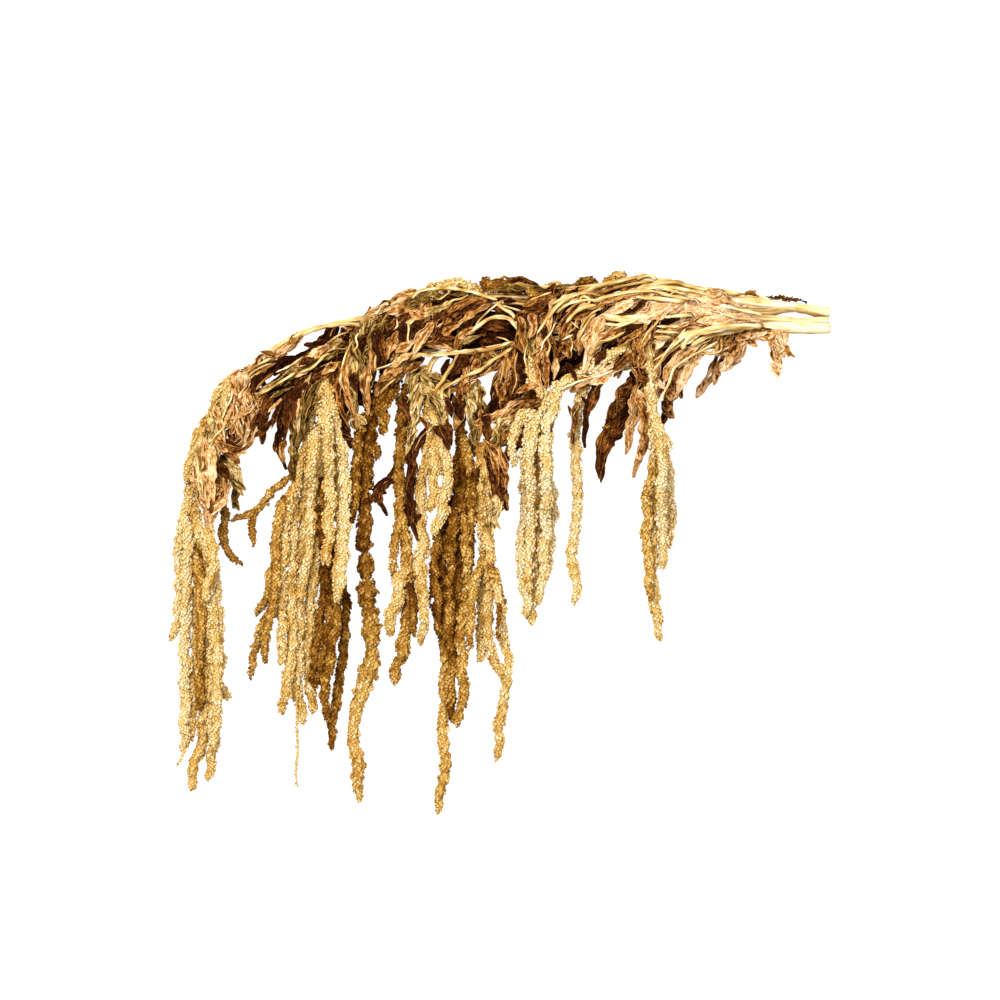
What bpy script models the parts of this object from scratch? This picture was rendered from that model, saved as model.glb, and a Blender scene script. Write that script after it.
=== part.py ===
"""A dried bunch of hanging amaranth, lying flat on a surface.

Eleven leafy stalks run in from the right, arch to the left over one another and
end in long tassels of knobbly flower spikes that lie towards the lower edge.
Each stalk with its leaves is one solid, and each tassel with its spikes is one solid.

The plan below is a drawing of the bunch seen from above. It uses plan units of
0.75 mm, with x to the right and y towards the lower edge. Heights aren't drawn:
every stalk, leaf and spike is laid on what already lies there, one after another.
"""

import math

import bpy
import bmesh
import numpy as np

# Driving dimensions, in millimetres
UNIT = 0.75
PLAN_CENTRE_X = 500.5
PLAN_CENTRE_Y = 544.5
REST_GAP = 0.35
BLADE_THICK = 0.85
STALK_STEP = 24.0
SPIKE_STEP = 13.5
TAPER_RUN = 26.0
THREAD_STEP = 14.0
LEAF_STEP = 17.0
STALK_SIDES = 5
SPIKE_SIDES = 5
THREAD_SIDES = 4
KNOB_HEIGHT = 0.17
ROOT_RUN = 20.0
LOOK_AHEAD = 80.0
KEEP = 1.06
SCRAP = 22
CELL = 0.5
FIELD_X = 262.0
FIELD_Y = 222.0

# How sharply each kind of piece can bend up and down, in 1/mm
BEND = {"t": 0.0016, "s": 0.02, "w": 0.02, "l": 0.02}

# Plan of the bunch, from the lowest plant to the highest: each stalk, then its tassel.
# Each solid is (name, elements), and each element is
# (kind, parent, shade, half widths, points): t stalk, s spike, w thread, l leaf.
# A stalk, spike or thread gives its half width, or one for each point.
# The parent is the number of an earlier element in the same solid.
SOLIDS = [
    ("stalk_c", [
        ("t", -1, "p", (3.7, 2.4),
         [(830, 322), (803, 322), (770, 320), (735, 315), (690, 314), (640, 320), (590, 331),
          (548, 343), (524, 346), (515, 330), (503, 318), (487, 315), (470, 321), (458, 334),
          (440, 347), (417, 354), (404, 366), (399, 378)]),
        ("l", 0, "b", 16, [(590, 331), (582, 350), (567, 362), (553, 377)]),
        ("l", 0, "k", 24, [(526, 346), (512, 341), (498, 339), (482, 341)]),
        ("l", 0, "k", 18, [(532, 345), (522, 330), (512, 318), (498, 308)]),
        ("l", 0, "k", 27, [(506, 319), (493, 328), (477, 336), (461, 343)]),
        ("l", 0, "k", 15, [(440, 347), (415, 335), (390, 342), (372, 368)]),
        ("l", 0, "b", 13, [(548, 343), (540, 358), (538, 375)]),
        ("l", 0, "b", 22, [(645, 320), (627, 338), (615, 352), (602, 362)]),
        ("l", 0, "b", 17, [(470, 321), (455, 328), (440, 337), (426, 345)]),
        ("l", 0, "b", 16, [(693, 314), (672, 340), (662, 370), (655, 398)]),
    ]),
    ("tassel_c", [
        ("s", -1, "d", (7, 8.5, 7.5, 7, 7.5, 7, 7, 7.5, 7, 2, 7, 7.5, 2, 8.5, 9, 2, 8, 8.5, 5, 9.5, 8,
                        6, 5.5, 6.5, 6, 5),
         [(399, 380), (385, 389), (375, 403), (370, 425), (367, 450), (365, 480), (364, 505),
          (364, 530), (364, 547), (365, 551), (365, 556), (365, 574), (366, 579), (367, 583),
          (367, 602), (368, 607), (369, 612), (372, 638), (371, 649), (370, 666), (362, 690),
          (355, 712), (353, 740), (357, 765), (358, 785), (357, 803)]),
        ("s", 0, "d", 4.8, [(374, 404), (362, 425), (357, 450), (356, 480), (354, 505), (351, 523)]),
        ("s", 0, "d", 6.0, [(398, 381), (393, 391), (385, 402), (382, 416), (384, 434)]),
        ("s", 0, "d", 4.2, [(369, 440), (377, 448), (376, 460)]),
    ]),
    ("stalk_d", [
        ("t", -1, "p", (3.7, 2.4),
         [(831, 329), (803, 329), (770, 327), (735, 323), (690, 325), (640, 332), (600, 336),
          (565, 322), (535, 306), (508, 303), (482, 306), (458, 316), (436, 330), (419, 346),
          (410, 362), (407, 382)]),
        ("l", 0, "t", 13, [(482, 306), (458, 300), (430, 301), (406, 309)]),
        ("l", 0, "b", 17, [(458, 316), (433, 319), (414, 331), (403, 350)]),
        ("l", 0, "t", 17, [(436, 330), (413, 341), (399, 360), (390, 378)]),
        ("l", 0, "b", 14, [(535, 306), (515, 300), (492, 298), (470, 301)]),
        ("l", 0, "k", 18, [(540, 308), (520, 314), (500, 319), (478, 322)]),
        ("l", 0, "b", 22, [(605, 336), (588, 352), (575, 365), (561, 381)]),
        ("l", 0, "r", 20, [(570, 324), (556, 342), (549, 362), (541, 382)]),
        ("l", 0, "t", 18, [(419, 346), (402, 360), (388, 374), (377, 396)]),
    ]),
    ("tassel_d", [
        ("s", -1, "m", (4, 6, 6, 6.5, 6.5),
         [(406, 384), (402, 402), (402, 430), (399, 460), (400, 490), (402, 520), (406, 545),
          (408, 570), (409, 600), (406, 630), (402, 650), (396, 670), (393, 685)]),
        ("s", 0, "m", 4.2, [(401, 515), (395, 540), (393, 562), (393, 581)]),
        ("s", 0, "l", 6.2, [(408, 562), (399, 588), (393, 612), (388, 636)]),
        ("s", 0, "d", 4.2, [(409, 578), (414, 605), (414, 637)]),
        ("l", 0, "k", 8, [(400, 466), (391, 477), (381, 486), (371, 502)]),
        ("l", 0, "k", 5, [(400, 474), (384, 484), (380, 503), (386, 516)]),
    ]),
    ("stalk_f", [
        ("t", -1, "p", (3.7, 2.4),
         [(829, 326), (803, 326), (770, 325), (735, 321), (690, 329), (650, 339), (605, 350),
          (560, 356), (530, 354), (508, 354), (491, 362), (477, 371), (466, 384), (464, 398)]),
        ("l", 0, "r", 23, [(527, 360), (514, 373), (507, 393), (500, 412)]),
        ("l", 0, "r", 15, [(514, 354), (507, 374), (498, 394), (490, 415)]),
        ("l", 0, "b", 12, [(535, 359), (527, 377), (519, 397)]),
        ("l", 0, "p", 9, [(470, 388), (461, 405), (457, 429)]),
        ("l", 0, "r", 20, [(562, 356), (548, 372), (537, 386), (530, 398)]),
        ("l", 0, "b", 13, [(515, 355), (508, 384), (498, 402), (488, 420)]),
        ("l", 0, "o", 14, [(473, 376), (476, 400), (477, 424), (473, 456)]),
        ("l", 0, "o", 9, [(520, 354), (503, 354), (489, 357), (476, 365)]),
        ("t", 0, "p", (2.0, 1.5), [(479, 370), (467, 375), (456, 381), (445, 387), (442, 399)]),
        ("l", 0, "b", 20, [(610, 350), (592, 362), (573, 372), (556, 383)]),
    ]),
    ("tassel_f", [
        ("s", -1, "d", 5.2,
         [(464, 397), (461, 430), (459, 470), (455, 505), (447, 535), (442, 565), (443, 600),
          (445, 640), (445, 680), (444, 715), (443, 742), (446, 765), (441, 790), (437, 815)]),
        ("s", 0, "d", 4.6,
         [(459, 450), (452, 480), (445, 510), (437, 542), (435, 572), (437, 602), (439, 638)]),
        ("s", 0, "d", 5.0,
         [(461, 440), (465, 470), (463, 510), (460, 550), (457, 590), (455, 630), (453, 670),
          (451, 698), (454, 724)]),
        ("s", 0, "m", 4.6, [(462, 430), (471, 470), (472, 515), (470, 548), (469, 571)]),
        ("s", 2, "m", 4.8,
         [(463, 510), (467, 550), (468, 588), (462, 622), (462, 660), (464, 690), (460, 712), (456, 727)]),
        ("s", 0, "d", 4.8, [(456, 500), (452, 540), (450, 580), (450, 620), (451, 656)]),
        ("w", 0, "k", 1.6, [(438, 572), (430, 590), (431, 604), (436, 617)]),
    ]),
    ("stalk_a", [
        ("t", -1, "p", (3.7, 2.5),
         [(831, 311), (803, 307), (770, 302), (735, 297), (695, 290), (660, 284), (610, 287),
          (560, 295), (510, 295), (465, 294), (425, 298), (388, 309), (352, 320), (320, 324),
          (292, 335), (268, 352), (250, 366)]),
        ("s", 0, "g", 6.5, [(488, 292), (468, 286), (448, 284), (427, 287)]),
        ("s", 0, "g", 5, [(630, 286), (621, 275), (602, 281)]),
        ("s", 0, "d", 5, [(604, 288), (591, 281), (574, 284)]),
        ("s", 0, "g", 4.4, [(582, 290), (566, 285), (544, 285)]),
        ("l", 0, "b", 11, [(336, 322), (320, 348), (294, 358), (270, 372)]),
        ("l", 0, "t", 12, [(304, 330), (287, 344), (272, 358), (262, 376)]),
        ("l", 0, "t", 11, [(268, 356), (257, 370), (251, 392)]),
        ("l", 0, "t", 15, [(427, 298), (402, 304), (377, 312), (357, 327)]),
        ("l", 0, "o", 9, [(446, 295), (430, 291), (419, 296), (407, 307)]),
        ("l", 0, "t", 11, [(352, 323), (345, 341), (333, 361)]),
        ("l", 0, "o", 15, [(380, 314), (365, 338), (356, 365), (358, 402)]),
        ("l", 0, "b", 20, [(468, 296), (452, 310), (437, 321), (420, 330)]),
        ("l", 0, "t", 20, [(430, 299), (415, 320), (401, 338), (385, 350)]),
        ("l", 0, "o", 16, [(392, 310), (378, 325), (367, 339), (352, 350)]),
        ("l", 0, "b", 15, [(566, 296), (546, 310), (531, 315), (514, 307)]),
    ]),
    ("tassel_a", [
        ("s", -1, "g", 5.6,
         [(254, 366), (238, 373), (223, 386), (214, 405), (209, 425), (199, 445), (192, 468),
          (190, 495), (193, 525), (196, 560), (197, 600), (196, 650), (192, 700), (188, 733), (183, 750)]),
        ("s", 0, "g", 5.6, [(214, 408), (203, 427), (195, 445), (190, 466), (184, 484)]),
        ("s", 0, "l", 5.2, [(191, 490), (183, 520), (178, 553), (179, 590), (177, 618), (170, 641)]),
        ("s", 0, "l", 5.2,
         [(192, 510), (188, 545), (186, 590), (184, 640), (184, 690), (184, 735), (180, 752)]),
        ("s", 0, "g", 5.4,
         [(196, 500), (204, 550), (207, 590), (207, 640), (205, 690), (203, 725), (199, 748),
          (193, 768), (189, 792)]),
        ("s", 4, "l", 5.4,
         [(203, 520), (209, 550), (215, 580), (217, 615), (219, 650), (218, 680), (227, 700)]),
        ("s", 4, "g", 5.2,
         [(206, 560), (211, 600), (213, 650), (213, 700), (213, 740), (210, 763), (207, 782)]),
        ("s", 0, "m", 4.6, [(195, 540), (200, 580), (201, 630), (199, 675), (200, 711)]),
        ("s", 6, "g", 4.8, [(212, 620), (218, 655), (217, 690), (217, 720), (212, 750)]),
        ("w", 0, "g", 1.5, [(187, 738), (183, 752), (180, 760), (176, 767)]),
        ("s", 0, "m", 4.0,
         [(203, 432), (214, 462), (221, 492), (224, 522), (222, 543), (230, 556), (242, 565)]),
        ("s", 0, "g", 6.2, [(240, 371), (230, 390), (222, 415), (214, 442), (208, 474), (210, 505)]),
        ("s", 4, "g", 5.6, [(200, 520), (212, 540), (212, 575), (204, 600)]),
        ("l", 0, "t", 20, [(246, 369), (241, 395), (234, 425), (237, 454)]),
        ("l", 11, "o", 17, [(226, 402), (221, 425), (213, 447), (209, 478)]),
        ("l", 0, "t", 15, [(232, 377), (248, 400), (249, 430), (243, 446), (224, 455)]),
        ("l", 10, "t", 15, [(207, 445), (206, 462), (201, 482), (204, 508)]),
        ("l", 10, "t", 15, [(214, 462), (208, 480), (207, 502), (214, 530)]),
        ("l", 10, "o", 9, [(213, 458), (231, 462), (236, 482), (233, 508)]),
        ("l", 10, "t", 14, [(216, 470), (221, 486), (216, 503), (211, 522)]),
    ]),
    ("stalk_b", [
        ("t", -1, "p", (3.7, 2.5),
         [(831, 315), (817, 311), (803, 307), (785, 306), (735, 302), (690, 295), (640, 295),
          (590, 303), (545, 306), (500, 300), (455, 305), (420, 317), (385, 333), (355, 345), (336, 357)]),
        ("l", 0, "k", 20, [(384, 333), (366, 352), (357, 376), (353, 402)]),
        ("l", 0, "k", 20, [(404, 324), (394, 338), (385, 354), (380, 370)]),
        ("l", 0, "k", 17, [(352, 346), (318, 362), (285, 383), (266, 402), (262, 444)]),
        ("l", 0, "k", 13, [(342, 353), (300, 380), (275, 397), (256, 423)]),
        ("l", 0, "k", 11, [(338, 356), (305, 383), (294, 405), (296, 425)]),
        ("l", 0, "p", 8, [(340, 355), (302, 380), (285, 402), (281, 432), (276, 453), (287, 468)]),
        ("l", 0, "t", 8, [(358, 344), (322, 353), (291, 372), (263, 391), (251, 399)]),
        ("l", 0, "g", 11, [(388, 332), (375, 346), (369, 372), (366, 408)]),
        ("l", 0, "r", 12, [(345, 351), (339, 376), (341, 413), (351, 448)]),
        ("l", 0, "o", 10, [(358, 344), (349, 372), (352, 400), (361, 428)]),
        ("l", 0, "g", 11, [(412, 321), (402, 344), (396, 364), (384, 384)]),
        ("l", 0, "r", 19, [(458, 304), (442, 321), (426, 334), (407, 343)]),
        ("l", 0, "r", 14, [(548, 306), (537, 325), (526, 341), (515, 356)]),
        ("l", 0, "b", 18, [(595, 303), (577, 322), (566, 343), (561, 367)]),
    ]),
    ("tassel_b", [
        ("s", -1, "g", 5.8,
         [(334, 357), (325, 373), (322, 405), (321, 450), (320, 500), (317, 540), (312, 580),
          (309, 620), (308, 660), (310, 690), (313, 714)]),
        ("s", 0, "d", 4.4,
         [(321, 470), (328, 520), (336, 560), (344, 592), (345, 615), (344, 640), (340, 672),
          (336, 700), (332, 722), (331, 751)]),
        ("s", 0, "d", 4.6, [(320, 500), (324, 550), (324, 590), (320, 620), (316, 650), (313, 688)]),
        ("s", 2, "d", 4.2, [(324, 560), (330, 592), (328, 630), (322, 662), (316, 690)]),
        ("s", 1, "d", 4.4,
         [(332, 545), (335, 580), (337, 610), (333, 640), (330, 660), (325, 690), (325, 708), (330, 724)]),
        ("s", 0, "l", 5.4,
         [(324, 378), (310, 418), (305, 470), (302, 530), (299, 575), (298, 620), (298, 660),
          (297, 690), (304, 726)]),
        ("s", 5, "g", 5.0,
         [(308, 440), (297, 475), (293, 515), (291, 560), (290, 600), (291, 645), (287, 685), (281, 715)]),
        ("s", 6, "g", 5.0, [(297, 476), (287, 510), (284, 550), (281, 590), (283, 630), (281, 665)]),
        ("s", 0, "l", 5.8, [(324, 376), (334, 418), (337, 470), (341, 520), (340, 560), (337, 602)]),
        ("s", 8, "l", 5.2, [(330, 420), (342, 450), (345, 495), (344, 540), (342, 575), (339, 600)]),
        ("s", 0, "g", 5.8, [(323, 390), (328, 438), (330, 500), (329, 535), (328, 566)]),
        ("s", 0, "l", 5.4, [(322, 420), (313, 455), (311, 500), (309, 540), (304, 575), (301, 600)]),
        ("s", 6, "m", 4.4,
         [(294, 490), (282, 505), (277, 530), (275, 560), (269, 588), (263, 604), (256, 616)]),
        ("s", 12, "m", 3.8,
         [(277, 550), (276, 590), (270, 612), (261, 626), (256, 648), (251, 664), (249, 680)]),
        ("s", 13, "m", 4.0, [(276, 580), (273, 607), (268, 625), (265, 645), (266, 664)]),
        ("w", 5, "g", 1.2, [(297, 680), (296, 720), (297, 748), (295, 775), (297, 790)]),
        ("s", 6, "m", 3.6, [(297, 474), (284, 480), (270, 493), (258, 508), (245, 515), (229, 521)]),
        ("s", 16, "m", 3.3, [(258, 508), (252, 520), (250, 532), (252, 547)]),
        ("l", 0, "o", 11, [(319, 386), (306, 406), (298, 432), (293, 456), (294, 480)]),
    ]),
    ("stalk_e", [
        ("t", -1, "p", (3.7, 2.5),
         [(830, 317), (817, 313), (803, 307), (786, 311), (735, 309), (690, 305), (640, 312),
          (595, 326), (552, 339), (512, 344), (480, 350), (452, 352), (434, 357), (425, 366), (424, 380)]),
        ("l", 0, "k", 12, [(470, 351), (457, 368), (444, 392)]),
        ("l", 0, "o", 11, [(426, 365), (417, 377), (413, 391), (415, 407)]),
        ("l", 0, "o", 10, [(425, 372), (437, 380), (445, 390), (447, 404)]),
        ("l", 0, "t", 7, [(514, 344), (500, 361), (478, 372), (460, 384), (441, 398)]),
        ("l", 0, "r", 14, [(552, 339), (533, 352), (520, 373), (513, 399)]),
        ("l", 0, "b", 20, [(597, 325), (575, 340), (562, 358)]),
        ("l", 0, "r", 10, [(460, 351), (443, 341), (425, 337), (405, 341)]),
        ("l", 0, "b", 16, [(554, 339), (547, 360), (539, 380), (531, 397)]),
        ("l", 0, "r", 17, [(522, 343), (515, 362), (508, 385), (502, 409)]),
        ("l", 0, "p", 15, [(645, 311), (624, 330), (611, 349), (597, 362)]),
        ("l", 0, "r", 9, [(484, 349), (471, 368), (464, 386), (456, 404)]),
        ("t", 0, "p", (1.8, 1.4), [(460, 352), (453, 363), (447, 373), (441, 384), (436, 397)]),
    ]),
    ("tassel_e", [
        ("s", -1, "l", 6.0,
         [(424, 380), (428, 398), (429, 415), (430, 440), (424, 470), (420, 500), (422, 530),
          (421, 560), (421, 585), (426, 606)]),
        ("s", 0, "l", 6.2, [(428, 400), (439, 430), (446, 462), (447, 490), (441, 512), (435, 536)]),
        ("s", 0, "g", 4.8, [(430, 430), (435, 462), (433, 490), (431, 512)]),
        ("s", 0, "l", 4.4, [(421, 578), (425, 603), (424, 622), (421, 645)]),
        ("l", 0, "k", 9, [(429, 425), (414, 452), (410, 495), (416, 540)]),
        ("l", 0, "t", 18, [(425, 382), (416, 402), (413, 424), (409, 446)]),
        ("l", 0, "t", 16, [(426, 384), (437, 398), (443, 418), (446, 438)]),
        ("l", 0, "k", 13, [(430, 410), (443, 427), (449, 449)]),
    ]),
    ("stalk_g", [
        ("t", -1, "p", (3.7, 2.6),
         [(830, 319), (817, 321), (803, 322), (786, 318), (735, 316), (690, 321), (650, 332),
          (615, 351), (582, 373), (550, 394), (520, 411), (497, 424), (486, 440)]),
        ("l", 0, "t", 9, [(545, 398), (517, 406), (497, 415), (480, 427)]),
        ("l", 0, "b", 14, [(620, 349), (604, 362), (590, 372)]),
        ("l", 0, "p", 15, [(655, 330), (641, 350), (629, 362), (611, 370)]),
        ("l", 0, "o", 15, [(524, 409), (508, 425), (499, 440), (492, 460)]),
        ("l", 0, "r", 15, [(540, 399), (522, 424), (513, 442), (506, 464)]),
    ]),
    ("tassel_g", [
        ("s", -1, "g", 5.2,
         [(486, 438), (481, 455), (480, 480), (483, 512), (485, 550), (484, 590), (482, 630),
          (481, 650), (480, 664)]),
        ("s", 0, "g", 4.8,
         [(482, 450), (490, 478), (492, 505), (490, 535), (489, 565), (489, 600), (488, 635),
          (493, 657), (502, 671), (507, 686), (503, 706), (499, 732), (499, 762)]),
        ("s", 1, "m", 4.8, [(489, 555), (496, 580), (500, 597), (507, 604)]),
        ("s", 2, "g", 4.0, [(496, 578), (502, 612), (504, 640), (509, 662), (508, 688)]),
        ("s", 0, "d", 3.6, [(481, 460), (474, 485), (474, 508)]),
        ("s", 0, "m", 4.4, [(484, 555), (477, 578), (472, 600), (471, 625), (470, 649)]),
        ("w", 2, "d", 2.2, [(497, 590), (499, 612), (498, 639)]),
        ("l", 0, "k", 9, [(483, 445), (494, 458), (494, 482), (496, 502)]),
        ("l", 0, "r", 10, [(484, 443), (500, 460), (503, 487), (508, 510)]),
        ("l", 1, "o", 8, [(491, 485), (497, 500), (494, 518), (490, 532)]),
    ]),
    ("stalk_i", [
        ("t", -1, "p", (3.6, 2.4),
         [(829, 325), (803, 325), (770, 324), (735, 325), (695, 328), (655, 338), (625, 352), (606, 367)]),
        ("w", 0, "b", 1.7, [(650, 340), (647, 356), (641, 374)]),
        ("l", 1, "b", 20, [(641, 372), (632, 392), (619, 418), (604, 450), (600, 478)]),
        ("l", 0, "k", 5, [(614, 360), (600, 383), (589, 402), (586, 425), (585, 447)]),
        ("l", 0, "k", 12, [(635, 347), (615, 358), (598, 358)]),
    ]),
    ("tassel_i", [
        ("s", -1, "l", 4.8,
         [(604, 369), (590, 379), (582, 392), (578, 418), (576, 450), (578, 480), (578, 510),
          (575, 535), (572, 558), (578, 585), (574, 605)]),
        ("l", 0, "b", 4, [(581, 398), (574, 420), (574, 443)]),
        ("l", 0, "t", 8, [(592, 378), (580, 385), (570, 391)]),
    ]),
    ("stalk_h", [
        ("t", -1, "p", (3.7, 2.8),
         [(831, 328), (803, 328), (770, 326), (735, 322), (695, 323), (665, 329), (645, 336)]),
        ("l", 0, "t", 14, [(716, 323), (692, 350), (674, 385), (662, 430)]),
        ("l", 0, "b", 12, [(700, 322), (678, 348), (662, 375), (655, 402)]),
        ("l", 0, "t", 10, [(718, 322), (691, 352), (677, 385), (668, 412)]),
        ("l", 0, "t", 6, [(750, 324), (732, 347), (718, 370), (700, 394)]),
        ("l", 0, "p", 17, [(747, 323), (737, 341), (732, 356), (722, 370)]),
        ("l", 0, "t", 12, [(738, 322), (729, 333), (717, 342), (700, 349)]),
        ("l", 0, "t", 10, [(778, 327), (760, 333), (741, 341), (722, 351)]),
        ("l", 0, "t", 9, [(776, 327), (776, 343), (777, 359), (779, 373)]),
        ("l", 0, "t", 5, [(774, 327), (783, 344), (790, 356)]),
        ("l", 0, "p", 11, [(652, 333), (646, 372), (637, 402), (631, 430), (627, 454)]),
        ("l", 0, "p", 11, [(656, 332), (651, 392), (646, 432), (641, 456), (634, 477)]),
    ]),
    ("tassel_h", [
        ("s", -1, "g", 6.0,
         [(642, 337), (617, 352), (592, 367), (567, 382), (549, 398), (541, 428), (538, 470),
          (538, 510), (536, 550), (534, 590), (531, 626)]),
        ("s", 0, "g", 5.6, [(548, 400), (534, 380), (532, 355), (538, 330)]),
        ("s", 0, "l", 5.4,
         [(546, 404), (530, 432), (526, 470), (526, 510), (522, 545), (523, 575), (527, 598), (526, 617)]),
        ("s", 0, "l", 5.4,
         [(560, 386), (551, 412), (547, 440), (548, 470), (552, 500), (551, 530), (548, 556), (547, 580)]),
        ("s", 0, "l", 5.4, [(541, 428), (546, 460), (546, 500), (545, 545), (543, 580), (538, 604)]),
        ("s", 2, "g", 5.0, [(538, 415), (530, 450), (531, 490), (531, 530), (528, 565), (530, 592)]),
        ("s", 2, "g", 4.8, [(540, 413), (522, 416), (514, 436), (514, 466)]),
        ("w", 3, "b", 1.4, [(553, 405), (555, 418), (551, 431)]),
        ("l", 0, "p", 7, [(636, 340), (622, 365), (600, 374), (576, 387)]),
    ]),
    ("stalk_k", [
        ("t", -1, "p", (3.6, 2.6),
         [(830, 310), (803, 306), (770, 300), (735, 295), (700, 289), (665, 280), (643, 277),
          (620, 281), (590, 287), (562, 288), (540, 287)]),
        ("s", 0, "p", 3.4, [(742, 297), (750, 292), (760, 294)]),
        ("w", 0, "b", 2.0, [(762, 298), (782, 297), (808, 301)]),
        ("l", 0, "b", 16, [(585, 290), (573, 310), (569, 330), (560, 352)]),
        ("l", 0, "t", 13, [(612, 283), (600, 308), (580, 330), (562, 350), (553, 372)]),
        ("l", 0, "t", 11, [(566, 292), (551, 312), (545, 335), (543, 362), (547, 388)]),
        ("l", 0, "g", 10, [(552, 291), (531, 308), (527, 330), (531, 354)]),
        ("l", 0, "r", 13, [(575, 291), (590, 314), (597, 338), (588, 362)]),
        ("l", 0, "t", 12, [(640, 277), (622, 303), (605, 325), (592, 348)]),
        ("l", 0, "p", 8, [(606, 284), (586, 298), (571, 314), (562, 336)]),
        ("l", 0, "t", 7, [(560, 292), (546, 318), (540, 344), (536, 366)]),
        ("l", 0, "b", 15, [(566, 292), (548, 303), (530, 312), (514, 320)]),
    ]),
    ("tassel_k", [
        ("s", -1, "d", (5.5, 7.5, 9.0), [(543, 288), (527, 287), (508, 284), (480, 284)]),
        ("s", 0, "m", 4.5, [(527, 289), (540, 297), (556, 299)]),
    ]),
    ("stalk_j", [
        ("t", -1, "p", (3.6, 2.6),
         [(831, 312), (803, 307), (770, 304), (735, 301), (700, 298), (674, 299), (657, 307), (650, 322)]),
        ("l", 0, "p", 20, [(748, 301), (722, 311), (692, 306), (655, 312)]),
        ("l", 0, "t", 13, [(735, 300), (708, 323), (678, 334), (652, 342)]),
        ("l", 0, "p", 14, [(664, 303), (632, 309), (607, 328), (590, 352), (583, 373)]),
        ("l", 0, "t", 8, [(690, 299), (662, 312), (638, 318), (612, 338)]),
        ("l", 0, "r", 13, [(654, 312), (641, 333), (637, 357), (642, 380)]),
        ("l", 0, "t", 10, [(690, 299), (660, 296), (630, 303), (604, 300)]),
    ]),
    ("tassel_j", [
        ("s", -1, "g", 5.2,
         [(650, 320), (648, 350), (651, 395), (655, 440), (656, 480), (654, 520), (653, 560),
          (655, 595), (658, 622), (662, 641)]),
        ("s", 0, "l", 5.3, [(652, 410), (663, 440), (668, 470), (671, 505), (671, 548)]),
        ("s", 0, "m", 4.8, [(655, 455), (649, 490), (648, 525), (649, 560), (652, 600)]),
        ("s", 1, "l", 4.8, [(661, 432), (662, 470), (662, 505), (664, 540), (664, 570)]),
    ]),
]

# Base colours of the solids, by the shade of their main element
SHADE = {
    "p": (0.80, 0.66, 0.36),
    "l": (0.74, 0.55, 0.26),
    "g": (0.62, 0.42, 0.17),
    "m": (0.42, 0.25, 0.08),
    "d": (0.24, 0.13, 0.05),
}


def smooth_route(points, widths, step, rooted):
    """Run a Catmull-Rom curve through the points and space it evenly.

    Each span between two points is the cubic that leaves one point along the
    chord of its neighbours and reaches the next along the chord of its own.
    Half widths are carried along in a straight line between the points.
    Returns the plan positions in mm and the half widths in mm.
    """
    p = np.array(points, float)
    p = np.column_stack([(p[:, 0] - PLAN_CENTRE_X) * UNIT, (PLAN_CENTRE_Y - p[:, 1]) * UNIT])
    w = np.interp(np.linspace(0, 1, len(p)), np.linspace(0, 1, len(widths)), widths) * UNIT
    ends = np.vstack([2 * p[0] - p[1], p, 2 * p[-1] - p[-2]])
    t = np.linspace(0, 1, 24, endpoint=False)[:, None]
    line = []
    wide = []
    for i in range(len(p) - 1):
        a, b, c, d = ends[i:i + 4]
        line.append(0.5 * (2 * b + (c - a) * t + (2 * a - 5 * b + 4 * c - d) * t ** 2
                           + (3 * b - a - 3 * c + d) * t ** 3))
        wide.append(w[i] + (w[i + 1] - w[i]) * t[:, 0])
    line = np.vstack(line + [p[-1:]])
    wide = np.concatenate(wide + [w[-1:]])
    run = np.concatenate([[0], np.cumsum(np.hypot(*np.diff(line, axis=0).T))])
    if len(widths) > 2:
        # A beaded spike keeps a ring at each of its own points
        at = [run[24 * i] for i in range(len(p))]
        stops = []
        for a, b in zip(at, at[1:]):
            stops += list(np.linspace(a, b, max(1, round((b - a) / step)), endpoint=False))
        stops = np.array(stops + [run[-1]])
    else:
        stops = np.linspace(0, run[-1], max(4, round(run[-1] / step) + 1))
    if rooted and stops[1] > 8:
        # One close station lets the root climb off its parent
        stops = np.insert(stops, 1, 5.0)
    xy = np.column_stack([np.interp(stops, run, line[:, 0]), np.interp(stops, run, line[:, 1])])
    return xy, np.interp(stops, run, wide), stops


def side_of(xy):
    """Unit vectors to the left of a plan route at each of its stations."""
    along = np.gradient(xy, axis=0)
    along /= np.maximum(np.hypot(along[:, 0], along[:, 1]), 1e-9)[:, None]
    return np.column_stack([-along[:, 1], along[:, 0]])


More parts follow.
